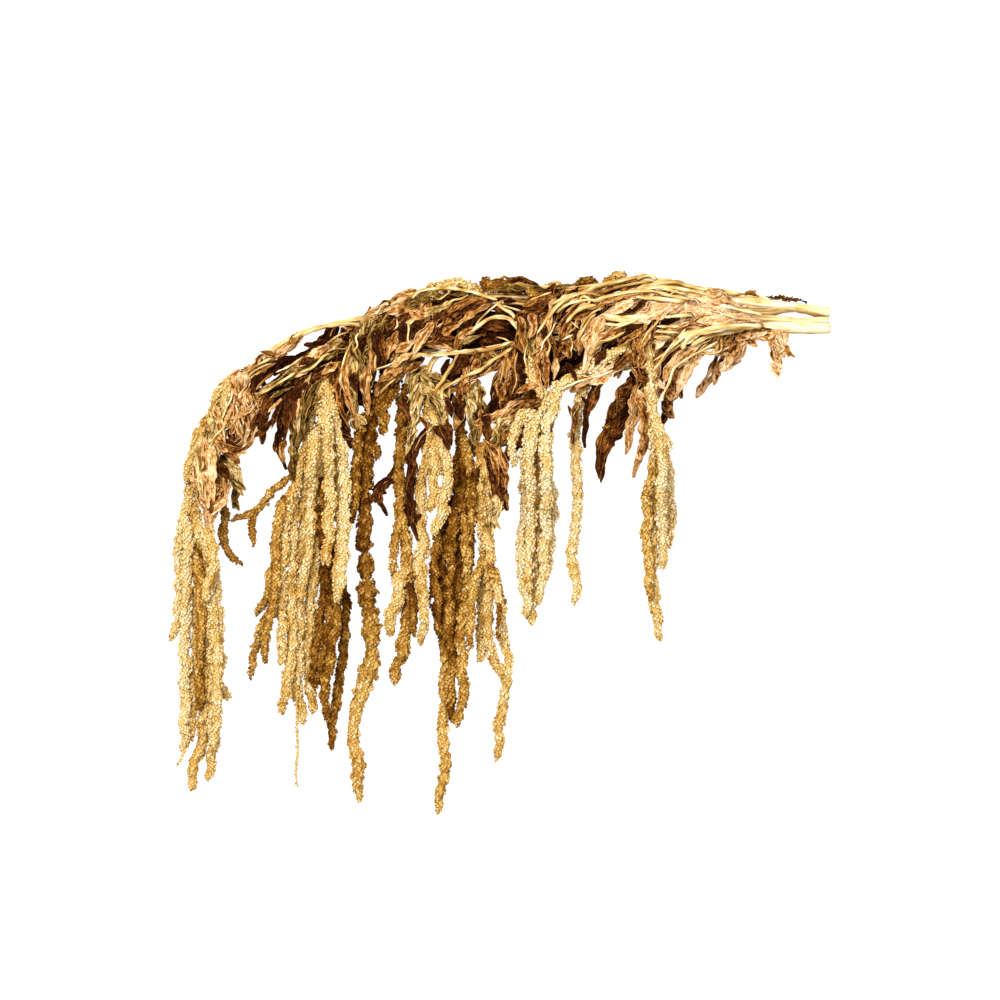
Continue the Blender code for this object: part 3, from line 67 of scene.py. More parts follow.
# %% The table of the plan
PLAN = """
stalk_c
t -1 p 3.7,2.4 830,322 803,322 770,320 735,315 690,314 640,320 590,331 548,343 524,346 515,330
+ 503,318 487,315 470,321 458,334 440,347 417,354 404,366 399,378
l 0 b 16 590,331 582,350 567,362 553,377
l 0 k 24 526,346 512,341 498,339 482,341
l 0 k 18 532,345 522,330 512,318 498,308
l 0 k 27 506,319 493,328 477,336 461,343
l 0 k 15 440,347 415,335 390,342 372,368
l 0 b 13 548,343 540,358 538,375
l 0 b 22 645,320 627,338 615,352 602,362
l 0 b 17 470,321 455,328 440,337 426,345
l 0 r 16 693,314 672,340 662,370 655,398
tassel_c
s -1 d 7,8.5,7.5,7,7.5,7,7,7.5,7,2,7,7.5,2,8.5,9,2,8,8.5,5,9.5,8,6,5.5,6.5,6,5 399,380 385,389
+ 375,403 370,425 367,450 365,480 364,505 364,530 364,547 365,551 365,556 365,574 366,579 367,583
+ 367,602 368,607 369,612 372,638 371,649 370,666 362,690 355,712 353,740 357,765 358,785 357,803
s 0 d 4.8 374,404 362,425 357,450 356,480 354,505 351,523
s 0 d 6.0 398,381 393,391 385,402 382,416 384,434
s 0 d 4.2 369,440 377,448 376,460
stalk_d
t -1 p 3.7,2.4 831,329 803,329 770,327 735,323 690,325 640,332 600,336 565,322 535,306 508,303
+ 482,306 458,316 436,330 419,346 410,362 407,382
l 0 t 13 482,306 458,300 430,301 406,309
l 0 b 17 458,316 433,319 414,331 403,350
l 0 t 17 436,330 413,341 399,360 390,378
l 0 b 14 535,306 515,300 492,298 470,301
l 0 k 18 540,308 520,314 500,319 478,322
l 0 b 22 605,336 588,352 575,365 561,381
l 0 r 20 570,324 556,342 549,362 541,382
l 0 t 18 419,346 402,360 388,374 377,396
tassel_d
s -1 m 4,6,6,6.5,6.5 406,384 402,402 402,430 399,460 400,490 402,520 406,545 408,570 409,600
+ 406,630 402,650 396,670 393,685
s 0 m 4.2 401,515 395,540 393,562 393,581
s 0 l 6.2 408,562 399,588 393,612 388,636
s 0 d 4.2 409,578 414,605 414,637
l 0 k 8 400,466 391,477 381,486 371,502
l 0 k 5 400,474 384,484 380,503 386,516
stalk_f
t -1 p 3.7,2.4 829,326 803,326 770,325 735,321 690,329 650,339 605,350 560,356 530,354 508,354
+ 491,362 477,371 466,384 464,398
l 0 r 23 527,360 514,373 507,393 500,412
l 0 r 15 514,354 507,374 498,394 490,415
l 0 b 12 535,359 527,377 519,397
l 0 p 9 470,388 461,405 457,429
l 0 r 20 562,356 548,372 537,386 530,398
l 0 b 13 515,355 508,384 498,402 488,420
l 0 o 14 473,376 476,400 477,424 473,456
l 0 o 9 520,354 503,354 489,357 476,365
t 0 p 2.0,1.5 479,370 467,375 456,381 445,387 442,399
l 0 b 20 610,350 592,362 573,372 556,383
tassel_f
s -1 d 5.2 464,397 461,430 459,470 455,505 447,535 442,565 443,600 445,640 445,680 444,715 443,742
+ 446,765 441,790 437,815
s 0 d 4.6 459,450 452,480 445,510 437,542 435,572 437,602 439,638
s 0 d 5.0 461,440 465,470 463,510 460,550 457,590 455,630 453,670 451,698 454,724
s 0 m 4.6 462,430 471,470 472,515 470,548 469,571
s 2 m 4.8 463,510 467,550 468,588 462,622 462,660 464,690 460,712 456,727
s 0 d 4.8 456,500 452,540 450,580 450,620 451,656
w 0 k 1.6 438,572 430,590 431,604 436,617
stalk_a
t -1 p 3.7,2.5 831,311 803,307 770,302 735,297 695,290 660,284 610,287 560,295 510,295 465,294
+ 425,298 388,309 352,320 320,324 292,335 268,352 250,366
s 0 g 6.5 488,292 468,286 448,284 427,287
s 0 g 5 630,286 621,275 602,281
s 0 d 5 604,288 591,281 574,284
s 0 g 4.4 582,290 566,285 544,285
l 0 b 11 336,322 320,348 294,358 270,372
l 0 t 12/6 304,330 287,344 272,358 262,376
l 0 t 11 268,356 257,370 251,392
l 0 t 15 427,298 402,304 377,312 357,327
l 0 o 9 446,295 430,291 419,296 407,307
l 0 t 11 352,323 345,341 333,361
l 0 o 15 380,314 365,338 356,365 358,402
l 0 b 20 468,296 452,310 437,321 420,330
l 0 t 20 430,299 415,320 401,338 385,350
l 0 o 16 392,310 378,325 367,339 352,350
l 0 b 15 566,296 546,310 531,315 514,307
tassel_a
s -1 g 5.6 254,366 238,373 223,386 214,405 209,425 199,445 192,468 190,495 193,525 196,560 197,600
+ 196,650 192,700 188,733 183,750
s 0 g 5.6 214,408 203,427 195,445 190,466 184,484
s 0 l 5.2 191,490 183,520 178,553 179,590 177,618 170,641
s 0 l 5.2 192,510 188,545 186,590 184,640 184,690 184,735 180,752
s 0 g 5.4 196,500 204,550 207,590 207,640 205,690 203,725 199,748 193,768 189,792
s 4 l 5.4 203,520 209,550 215,580 217,615 219,650 218,680 227,700
s 4 g 5.2 206,560 211,600 213,650 213,700 213,740 210,763 207,782
s 0 m 4.6 195,540 200,580 201,630 199,675 200,711
s 6 g 4.8 212,620 218,655 217,690 217,720 212,750
w 0 g 1.5 187,738 183,752 180,760 176,767
s 0 m 4.0 203,432 214,462 221,492 224,522 222,543 230,556 242,565
s 0 g 6.2 240,371 230,390 222,415 214,442 208,474 210,505
s 4 g 5.6 200,520 212,540 212,575 204,600
l 0 t 20 246,369 241,395 234,425 237,454
l 11 o 17 226,402 221,425 213,447 209,478
l 0 t 15 232,377 248,400 249,430 243,446 224,455
l 10 t 15 207,445 206,462 201,482 204,508
l 10 t 15 214,462 208,480 207,502 214,530
l 10 o 9 213,458 231,462 236,482 233,508
l 10 t 14 216,470 221,486 216,503 211,522
stalk_b
t -1 p 3.7,2.5 831,315 817,311 803,307 785,306 735,302 690,295 640,295 590,303 545,306 500,300
+ 455,305 420,317 385,333 355,345 336,357
l 0 k 20 384,333 366,352 357,376 353,402
l 0 k 20 404,324 394,338 385,354 380,370
l 0 k 17 352,346 318,362 285,383 266,402 262,444
l 0 k 13 342,353 300,380 275,397 256,423
l 0 k 11 338,356 305,383 294,405 296,425
l 0 b 8 340,355 302,380 285,402 281,432 276,453 287,468
l 0 g 8 358,344 322,353 291,372 263,391 251,399
l 0 g 11 388,332 375,346 369,372 366,408
l 0 r 12 345,351 339,376 341,413 351,448
l 0 o 10 358,344 349,372 352,400 361,428
l 0 g 11 412,321 402,344 396,364 384,384
l 0 r 19 458,304 442,321 426,334 407,343
l 0 r 14 548,306 537,325 526,341 515,356
l 0 b 18 595,303 577,322 566,343 561,367
tassel_b
s -1 g 5.8 334,357 325,373 322,405 321,450 320,500 317,540 312,580 309,620 308,660 310,690 313,714
s 0 d 4.4 321,470 328,520 336,560 344,592 345,615 344,640 340,672 336,700 332,722 331,751
s 0 d 4.6 320,500 324,550 324,590 320,620 316,650 313,688
s 2 d 4.2 324,560 330,592 328,630 322,662 316,690
s 1 d 4.4 332,545 335,580 337,610 333,640 330,660 325,690 325,708 330,724
s 0 l 5.4 324,378 310,418 305,470 302,530 299,575 298,620 298,660 297,690 304,726
s 5 g 5.0 308,440 297,475 293,515 291,560 290,600 291,645 287,685 281,715
s 6 g 5.0 297,476 287,510 284,550 281,590 283,630 281,665
s 0 l 5.8 324,376 334,418 337,470 341,520 340,560 337,602
s 8 l 5.2 330,420 342,450 345,495 344,540 342,575 339,600
s 0 g 5.8 323,390 328,438 330,500 329,535 328,566
s 0 l 5.4 322,420 313,455 311,500 309,540 304,575 301,600
s 6 m 4.4 294,490 282,505 277,530 275,560 269,588 263,604 256,616
s 12 m 3.8 277,550 276,590 270,612 261,626 256,648 251,664 249,680
s 13 m 4.0 276,580 273,607 268,625 265,645 266,664
w 5 g 1.2 297,680 296,720 297,748 295,775 297,790
s 6 m 3.6 297,474 284,480 270,493 258,508 245,515 229,521
s 16 m 3.3 258,508 252,520 250,532 252,547
l 0 g 11 319,386 306,406 298,432 293,456 294,480
stalk_e
t -1 p 3.7,2.5 830,317 817,313 803,307 786,311 735,309 690,305 640,312 595,326 552,339 512,344
+ 480,350 452,352 434,357 425,366 424,380
l 0 k 12 470,351 457,368 444,392
l 0 o 11 426,365 417,377 413,391 415,407
l 0 o 10 425,372 437,380 445,390 447,404
l 0 t 7 514,344 500,361 478,372 460,384 441,398
l 0 r 14 552,339 533,352 520,373 513,399
l 0 b 20 597,325 575,340 562,358
l 0 r 10 460,351 443,341 425,337 405,341
l 0 b 16 554,339 547,360 539,380 531,397
l 0 r 17 522,343 515,362 508,385 502,409
l 0 p 15 645,311 624,330 611,349 597,362
l 0 r 9 484,349 471,368 464,386 456,404
t 0 p 1.8,1.4 460,352 453,363 447,373 441,384 436,397
tassel_e
s -1 l 6.0 424,380 428,398 429,415 430,440 424,470 420,500 422,530 421,560 421,585 426,606
s 0 l 6.2 428,400 439,430 446,462 447,490 441,512 435,536
s 0 g 4.8 430,430 435,462 433,490 431,512
s 0 l 4.4 421,578 425,603 424,622 421,645
l 0 k 9/7 429,425 414,452 410,495 416,540
l 0 o 18/11 425,382 416,402 413,424 409,446
l 0 o 16/10 426,384 437,398 443,418 446,438
l 0 k 13 430,410 443,427 449,449
stalk_g
t -1 p 3.7,2.6 830,319 817,321 803,322 786,318 735,316 690,321 650,332 615,351 582,373 550,394
+ 520,411 497,424 486,440
l 0 t 9 545,398 517,406 497,415 480,427
l 0 b 14 620,349 604,362 590,372
l 0 p 15 655,330 641,350 629,362 611,370
l 0 o 15 524,409 508,425 499,440 492,460
l 0 r 15 540,399 522,424 513,442 506,464
tassel_g
s -1 g 5.2 486,438 481,455 480,480 483,512 485,550 484,590 482,630 481,650 480,664
s 0 g 4.8 482,450 490,478 492,505 490,535 489,565 489,600 488,635 493,657 502,671 507,686 503,706
+ 499,732 499,762
s 1 m 4.8 489,555 496,580 500,597 507,604
s 2 g 4.0 496,578 502,612 504,640 509,662 508,688
s 0 d 3.6 481,460 474,485 474,508
s 0 m 4.4 484,555 477,578 472,600 471,625 470,649
w 2 d 2.2 497,590 499,612 498,639
l 0 k 9 483,445 494,458 494,482 496,502
l 0 r 10 484,443 500,460 503,487 508,510
l 1 o 8 491,485 497,500 494,518 490,532
stalk_i
t -1 p 3.6,2.4 829,325 803,325 770,324 735,325 695,328 655,338 625,352 606,367
w 0 b 1.7 650,340 647,356 641,374
l 1 b 20 641,372 632,392 619,418 604,450 600,478
l 0 k 5 614,360 600,383 589,402 586,425 585,447
l 0 k 12 635,347 615,358 598,358
tassel_i
s -1 l 4.8 604,369 590,379 582,392 578,418 576,450 578,480 578,510 575,535 572,558 578,585 574,605
l 0 b 4/2.4 581,398 574,420 574,443
l 0 t 8 592,378 580,385 570,391
stalk_h
t -1 p 3.7,2.8 831,328 803,328 770,326 735,322 695,323 665,329 645,336
l 0 t 14 716,323 692,350 674,385 662,430
l 0 t 12/8 700,322 678,348 662,375 655,402
l 0 t 10 718,322 691,352 677,385 668,412
l 0 t 6 750,324 732,347 718,370 700,394
l 0 p 17 747,323 737,341 732,356 722,370
l 0 t 12 738,322 729,333 717,342 700,349
l 0 t 10 778,327 760,333 741,341 722,351
l 0 t 9 776,327 776,343 777,359 779,373
l 0 t 5 774,327 783,344 790,356
l 0 p 11 652,333 646,372 637,402 631,430 627,454
l 0 p 11 656,332 651,392 646,432 641,456 634,477
tassel_h
s -1 g 6.0 642,337 617,352 592,367 567,382 549,398 541,428 538,470 538,510 536,550 534,590 531,626
s 0 g 5.6 548,400 534,380 532,355 538,330
s 0 l 5.4 546,404 530,432 526,470 526,510 522,545 523,575 527,598 526,617
s 0 l 5.4 560,386 551,412 547,440 548,470 552,500 551,530 548,556 547,580
s 0 l 5.4 541,428 546,460 546,500 545,545 543,580 538,604
s 2 g 5.0 538,415 530,450 531,490 531,530 528,565 530,592
s 2 g 4.8 540,413 522,416 514,436 514,466
w 3 b 1.4 553,405 555,418 551,431
l 0 p 7 636,340 622,365 600,374 576,387
stalk_k
t -1 p 3.6,2.6 830,310 803,306 770,300 735,295 700,289 665,280 643,277 620,281 590,287 562,288
+ 540,287
s 0 p 3.4 742,297 750,292 760,294
w 0 b 2.0 762,298 782,297 808,301
l 0 b 16 585,290 573,310 569,330 560,352
l 0 t 13 612,283 600,308 580,330 562,350 553,372
l 0 t 11 566,292 551,312 545,335 543,362 547,388
l 0 g 10 552,291 531,308 527,330 531,354
l 0 r 13 575,291 590,314 597,338 588,362
l 0 t 12 640,277 622,303 605,325 592,348
l 0 p 8 606,284 586,298 571,314 562,336
l 0 t 7 560,292 546,318 540,344 536,366
l 0 b 15 566,292 548,303 530,312 514,320
tassel_k
s -1 d 5.5,7.5,9.0 543,288 527,287 508,284 480,284
s 0 m 4.5 527,289 540,297 556,299
stalk_j
t -1 p 3.6,2.6 831,312 803,307 770,304 735,301 700,298 674,299 657,307 650,322
l 0 p 20 748,301 722,311 692,306 655,312
l 0 t 13 735,300 708,323 678,334 652,342
l 0 p 14 664,303 632,309 607,328 590,352 583,373
l 0 t 8 690,299 662,312 638,318 612,338
l 0 r 13 654,312 641,333 637,357 642,380
l 0 t 10 690,299 660,296 630,303 604,300
tassel_j
s -1 g 5.2 650,320 648,350 651,395 655,440 656,480 654,520 653,560 655,595 658,622 662,641
s 0 l 5.3 652,410 663,440 668,470 671,505 671,548
s 0 m 4.8 655,455 649,490 648,525 649,560 652,600
s 1 l 4.8 661,432 662,470 662,505 664,540 664,570
"""

# %% Read the plan
PLAN_UNIT = 0.75
PLAN_CENTRE_X = 500.5
PLAN_CENTRE_Y = 544.5


def run_along(points):
    """How far along a line of points each of them is."""
    return np.concatenate([[0], np.cumsum(np.linalg.norm(np.diff(points, axis=0), axis=1))])


def read_plan(text):
    """Give each node its elements as (kind, parent, shade, half widths, points, dressed width)."""
    plan = {}
    for line in text.strip().splitlines():
        words = line.split()
        if len(words) == 1:
            rows = plan.setdefault(words[0], [])
        elif words[0] == "+":
            rows[-1][4] += words[1:]
        else:
            rows.append([words[0], int(words[1]), words[2], words[3], words[4:]])
    for rows in plan.values():
        for place, (kind, parent, shade, wide, points) in enumerate(rows):
            solid, _, narrow = wide.partition("/")
            widths = tuple(float(w) for w in solid.split(","))
            points = [tuple(float(n) for n in word.split(",")) for word in points]
            rows[place] = (kind, parent, shade, widths if len(widths) > 1 else widths[0],
                           points, float(narrow or widths[0]))
    return plan


bunch_plan = read_plan(PLAN)
print("nodes:", len(bunch_plan), "elements:", sum(len(rows) for rows in bunch_plan.values()))

# %% [markdown]
# ## Stations along a route
#
# The solids have few rings, so each route is cut into stations some 14 to 24 mm apart. A
# Catmull-Rom curve is the usual way to run a smooth line through points chosen by hand:
# each span leaves a point in the direction of its two neighbours.

# %% Plan routes to stations
STALK_STATION_STEP = 24.0
SPIKE_STATION_STEP = 13.5
THREAD_STATION_STEP = 14.0
BLADE_STEP = 17.0
TAPER_RUN = 26.0
KNOB_HEIGHT = 0.17
ROUTE_CUTS = 24
ROOT_STATION = 5.0


def from_plan(points):
    """Places in mm of points of the plan."""
    x, y = np.array(points, float).T
    return np.column_stack([(x - PLAN_CENTRE_X) * PLAN_UNIT, (PLAN_CENTRE_Y - y) * PLAN_UNIT])


def to_plan(place):
    """The point of the plan at a place in mm."""
    return place[0] / PLAN_UNIT + PLAN_CENTRE_X, PLAN_CENTRE_Y - place[1] / PLAN_UNIT


def catmull_rom(points, cuts):
    """Points of a smooth curve through the points, with a number of cuts for each span.

    Each span is half of (2 b + (c - a) t + (2 a - 5 b + 4 c - d) t^2
    + (3 b - a - 3 c + d) t^3), for t from 0 to 1 between b and c.
    """
    p = np.vstack([2 * points[0] - points[1], points, 2 * points[-1] - points[-2]])
    t = np.linspace(0, 1, cuts, endpoint=False)[None, :, None]
    a, b, c, d = (p[i:len(p) - 3 + i, None, :] for i in range(4))
    line = 0.5 * (2 * b + (c - a) * t + (2 * a - 5 * b + 4 * c - d) * t ** 2
                  + (3 * b - a - 3 * c + d) * t ** 3)
    return np.vstack([line.reshape(-1, points.shape[1]), points[-1:]])


def smooth_route(points, widths, step, rooted):
    """Run a smooth curve through points of the plan and cut it into stations.

    Half widths are carried along in a straight line between the points. Returns the
    places and half widths of the stations in mm, and how far along each is.
    """
    p = from_plan(points)
    w = np.interp(np.linspace(0, 1, len(p)), np.linspace(0, 1, len(widths)), widths) * PLAN_UNIT
    line = catmull_rom(p, ROUTE_CUTS)
    t = np.linspace(0, 1, ROUTE_CUTS, endpoint=False)
    wide = np.append(w[:-1, None] + np.diff(w)[:, None] * t, w[-1])
    run = np.concatenate([[0], np.cumsum(np.hypot(*np.diff(line, axis=0).T))])
    if len(widths) > 2:
        # A beaded spike keeps a ring at each of its own points
        at = run[::ROUTE_CUTS]
        stops = []
        for a, b in zip(at, at[1:]):
            stops += list(np.linspace(a, b, max(1, round((b - a) / step)), endpoint=False))
        stops = np.array(stops + [run[-1]])
    else:
        stops = np.linspace(0, run[-1], max(4, round(run[-1] / step) + 1))
    if rooted and stops[1] > 8:
        # One close station lets the root climb off its parent
        stops = np.insert(stops, 1, ROOT_STATION)
    xy = np.column_stack([np.interp(stops, run, line[:, 0]), np.interp(stops, run, line[:, 1])])
    return xy, np.interp(stops, run, wide), stops


def side_of(xy):
    """Unit vectors to the left of a plan route at each of its stations."""
    along = np.gradient(xy, axis=0)
    along /= np.maximum(np.hypot(along[:, 0], along[:, 1]), 1e-9)[:, None]
    return np.column_stack([-along[:, 1], along[:, 0]])


def fine_stations(xy, extra, run):
    """Points every millimetre on the straight spans between stations."""
    fine = np.arange(0, run[-1] + 0.999, 1.0)
    fine[-1] = run[-1]
    pos = np.column_stack([np.interp(fine, run, xy[:, 0]), np.interp(fine, run, xy[:, 1])])
    return fine, pos, np.interp(fine, run, extra)


def tube_line(kind, widths, points, rooted):
    """Stations, radii and fine samples of a stalk, spike or thread."""
    step = {"t": STALK_STATION_STEP, "s": SPIKE_STATION_STEP, "w": THREAD_STATION_STEP}[kind]
    widths = widths if isinstance(widths, tuple) else (widths, widths)
    if len(points) == len(widths) + 1:
        # A seat has added a point at the root
        widths = widths[:1] + widths
    xy, rad, run = smooth_route(points, widths, step, rooted)
    if kind == "s":
        # Slim at the root, full along its length and tapered to a blunt tip
        taper = min(TAPER_RUN, 0.55 * run[-1])
        rad = 1.07 * rad * np.minimum(1, 0.45 + 0.55 * run / 12.0)
        rad *= np.minimum(1, 0.66 + 0.34 * (run[-1] - run) / taper)
        rad[-1] *= 0.6
    swell = 1 + KNOB_HEIGHT if kind == "s" else 1
    fine, pos, r = fine_stations(xy, rad * swell, run)
    return xy, rad, run, fine, pos, r

# %% [markdown]
# ## What lies already
#
# The pile is a height over a square grid. Each solid raises the grid to its own top when
# it is laid, triangle by triangle, and the next one reads the grid along its route.

# %% The height of the pile
FIELD_X = 262.0
FIELD_Y = 222.0
FIELD_CELL = 0.5


class Field:
    """Height of everything laid so far over the surface, on a square grid."""

    def __init__(self):
        self.nx = int(2 * FIELD_X / FIELD_CELL) + 1
        self.ny = int(2 * FIELD_Y / FIELD_CELL) + 1
        self.top = np.zeros((self.nx, self.ny))

    def copy(self):
        """A field of its own with the same heights."""
        twin = Field()
        twin.top[:] = self.top
        return twin

    def read(self, x, y):
        """Highest of the four grid heights round each point."""
        i = np.clip((np.asarray(x) + FIELD_X) / FIELD_CELL, 0, self.nx - 1.001)
        j = np.clip((np.asarray(y) + FIELD_Y) / FIELD_CELL, 0, self.ny - 1.001)
        i0 = i.astype(int)
        j0 = j.astype(int)
        low = np.maximum(self.top[i0, j0], self.top[i0 + 1, j0])
        return np.maximum(low, np.maximum(self.top[i0, j0 + 1], self.top[i0 + 1, j0 + 1]))

    def cover(self, verts, faces):
        """Raise the grid to the top of a mesh, triangle by triangle."""
        for f in faces:
            for k in range(1, len(f) - 1):
                a, b, c = verts[f[0]], verts[f[k]], verts[f[k + 1]]
                corners = (np.array([a, b, c])[:, :2] + [FIELD_X, FIELD_Y]) / FIELD_CELL
                lo = np.floor(corners.min(axis=0)).astype(int)
                hi = np.ceil(corners.max(axis=0)).astype(int)
                lo = np.maximum(lo, 0)
                hi = np.minimum(hi, [self.nx - 1, self.ny - 1])
                gx = (np.arange(lo[0], hi[0] + 1) * FIELD_CELL - FIELD_X)[:, None]
                gy = (np.arange(lo[1], hi[1] + 1) * FIELD_CELL - FIELD_Y)[None, :]
                area = (b[0] - a[0]) * (c[1] - a[1]) - (c[0] - a[0]) * (b[1] - a[1])
                if abs(area) < 1e-6:
                    continue
                u = ((gx - a[0]) * (c[1] - a[1]) - (c[0] - a[0]) * (gy - a[1])) / area
                v = ((b[0] - a[0]) * (gy - a[1]) - (gx - a[0]) * (b[1] - a[1])) / area
                widest = max(1.0, np.ptp([a[0], b[0], c[0]]), np.ptp([a[1], b[1], c[1]]))
                slack = 0.5 * FIELD_CELL * widest / abs(area)
                slack = min(slack, 0.5)
                inside = (u >= -slack) & (v >= -slack) & (u + v <= 1 + slack)
                z = a[2] + u * (b[2] - a[2]) + v * (c[2] - a[2])
                z = np.where(inside, np.minimum(z, max(a[2], b[2], c[2])), -1.0)
                view = self.top[lo[0]:hi[0] + 1, lo[1]:hi[1] + 1]
                np.maximum(view, z, out=view)

# %% [markdown]
# ## How a stem lies
#
# A dried stem is a stiff line: it can't follow every hollow, so it rests on the highest
# places under it and bends a little between them. It leaves its parent's centre line
# smoothly, and is free of its own solid at its root.

# %% Settle a line on the pile
REST_GAP = 0.35
ROOT_RUN = 20.0
LOOK_AHEAD = 80.0
SEAT_RUN = 4.5
BEND = {"t": 0.0016, "s": 0.02, "w": 0.02, "l": 0.02}


def stiff_line(run, need, bend):
    """Lowest line over the needed heights that bends no more than it can.

    At each place it is the greatest of every need less bend times the
    squared distance to it.
    """
    return (need[None, :] - bend * (run[:, None] - run[None, :]) ** 2).max(axis=1)


def settle(run, fine, need_own, need_rest, bend, start):
    """Heights at the stations that clear every need along the spans between them.

    Without a parent the line is the stiff one over everything. With a parent
    it leaves the parent's centre line, is free to run through its own solid
    over the root run, and clears everything else all along. A span that dips
    below a need lifts the stations at its ends.
    """
    own = np.interp(run, fine, stiff_line(fine, need_own, bend))
    need = need_own
    z = own
    first = 0
    if start is not None:
        t = np.clip(run / ROOT_RUN, 0, 1)
        ease = t * t * (3 - 2 * t)
        rest = np.interp(run, fine, stiff_line(fine, need_rest, bend))
        z = np.maximum(rest, start + (own - start) * ease)
        z[0] = max(start, need_rest[0])
        need = np.where(fine < ROOT_RUN, need_rest, need_own)
        first = 1
    lift = np.zeros(len(run))
    for i in range(len(run) - 1):
        here = (fine >= run[i]) & (fine <= run[i + 1])
        part = (fine[here] - run[i]) / (run[i + 1] - run[i])
        short = need[here] - (z[i] * (1 - part) + z[i + 1] * part)
        if i == 0 and first:
            rise = np.where(part > 0.3, short / np.maximum(part, 0.3), 0)
            lift[1] = max(lift[1], rise.max())
        else:
            lift[i] = max(lift[i], short.max())
            lift[i + 1] = max(lift[i + 1], short.max())
    return z + lift


def tube_need(fine, pos, r, field):
    """Centre height that keeps a round tube just clear of a field, all along it."""
    side = side_of(pos)
    need = np.array(r)
    for u in np.linspace(-1, 1, 15):
        reach = (r + REST_GAP) * u
        h = field.read(pos[:, 0] + side[:, 0] * reach, pos[:, 1] + side[:, 1] * reach)
        over = h + (r + REST_GAP) * math.sqrt(max(0.0, 1 - u * u))
        need = np.where(h > 0.01, np.maximum(need, over), need)
    return need

# %% [markdown]
# ## The solids' own faces
#
# The pile rises by the plain solids, as it did when they were laid, so their faces are
# made again: rings of four or five corners along a tube, and two creased faces with a rim
# for a blade. They are not seen.

# %% Faces of a solid tube
SOLID_STALK_SIDES = 5
SOLID_SPIKE_SIDES = 5
SOLID_THREAD_SIDES = 4


def tube_mesh(xy, z, rad, sides, knob, number):
    """Rings of vertices round the centre line, each in an upright plane.

    A knobbly tube swells and shrinks by the golden angle from vertex to vertex.
    """
    side = side_of(xy)
    verts = []
    faces = []
    for i in range(len(xy)):
        for k in range(sides):
            turn = 2 * math.pi * (k + 0.5 * (i % 2 if knob else 0)) / sides + 0.4
            swell = 1 + knob * math.cos(2.39996 * (i * sides + k + 7 * number))
            r = rad[i] * swell
            out = side[i] * r * math.cos(turn)
            verts.append([xy[i, 0] + out[0], xy[i, 1] + out[1], z[i] + r * math.sin(turn)])
    for i in range(len(xy) - 1):
        for k in range(sides):
            a = i * sides + k
            b = i * sides + (k + 1) % sides
            c = a + sides
            d = b + sides
            if knob and i % 2:
                faces += [(a, b, d), (a, d, c)]
            else:
                faces += [(a, b, c), (b, d, c)]
    faces.append(tuple(range(sides))[::-1])
    last = (len(xy) - 1) * sides
    faces.append(tuple(last + k for k in range(sides)))
    return np.array(verts), faces

# %% Faces of a solid blade
BLADE_THICK = 0.85


def leaf_shape(run, width, number):
    """Half width and the fold of a dried blade at each station.

    The half width rises fast from the stalk and falls slowly to the tip. The
    blade is creased along its midrib, and its edges wave up and down.
    """
    t = run / run[-1]
    half = 0.9 + 0.62 * width * np.sin(math.pi * t ** 0.62) ** 0.7 * (1 - 0.2 * t)
    half[-1] = 0.8
    crease = 0.30 * math.sin(2.4 * number + 0.7)
    wave = 0.20 * np.sin(2.4 * np.arange(len(run)) + number)
    left = half * (crease + wave)
    right = half * (crease - wave)
    return half, left, right


def leaf_parts(xy, run, field_own, field_rest, width, start, number):
    """Lay a creased blade over the field and build its two faces and rim."""
    half, left, right = leaf_shape(run, width * PLAN_UNIT, number)
    thick = np.where(run < 6, 0.8, 0.5 * BLADE_THICK)
    fine, pos, h = fine_stations(xy, half, run)
    side = side_of(pos)
    fl = np.interp(fine, run, left)
    fr = np.interp(fine, run, right)
    under = np.interp(fine, run, thick)
    needs = []
    for field in (field_own, field_rest):
        need = under - np.minimum(np.minimum(fl, fr), 0)
        for u in np.linspace(-1, 1, 17):
            reach = (h + 0.4) * u
            fold = abs(u) * (fl if u > 0 else fr)
            h_at = field.read(pos[:, 0] + side[:, 0] * reach, pos[:, 1] + side[:, 1] * reach)
            need = np.where(h_at > 0.01, np.maximum(need, h_at - fold + under + REST_GAP), need)
        needs.append(need)
    z = settle(run, fine, needs[0], needs[1], BEND["l"], start)
    side = side_of(xy)
    verts = []
    for face in (-1, 1):
        for i in range(len(xy)):
            lift = face * thick[i]
            out = side[i] * half[i]
            verts.append([xy[i, 0] + out[0], xy[i, 1] + out[1], z[i] + left[i] + lift])
            verts.append([xy[i, 0], xy[i, 1], z[i] + lift])
            verts.append([xy[i, 0] - out[0], xy[i, 1] - out[1], z[i] + right[i] + lift])
    n = len(xy)
    faces = []
    for i in range(n - 1):
        for k in range(2):
            a, b, c, d = 3 * i + k, 3 * i + k + 1, 3 * i + k + 3, 3 * i + k + 4
            up = 3 * n
            if k:
                faces += [(a, b, c), (b, d, c), (c + up, b + up, a + up), (c + up, d + up, b + up)]
            else:
                faces += [(a, b, d), (a, d, c), (d + up, b + up, a + up), (c + up, d + up, a + up)]
        for edge, flip in ((0, False), (2, True)):
            a, c = 3 * i + edge, 3 * i + edge + 3
            ring = (a, c, c + 3 * n, a + 3 * n)
            faces.append(ring[::-1] if flip else ring)
    for i, flip in ((0, True), (n - 1, False)):
        for k in range(2):
            a, b = 3 * i + k, 3 * i + k + 1
            ring = (a, b, b + 3 * n, a + 3 * n)
            faces.append(ring if flip else ring[::-1])
    return np.array(verts), faces, z

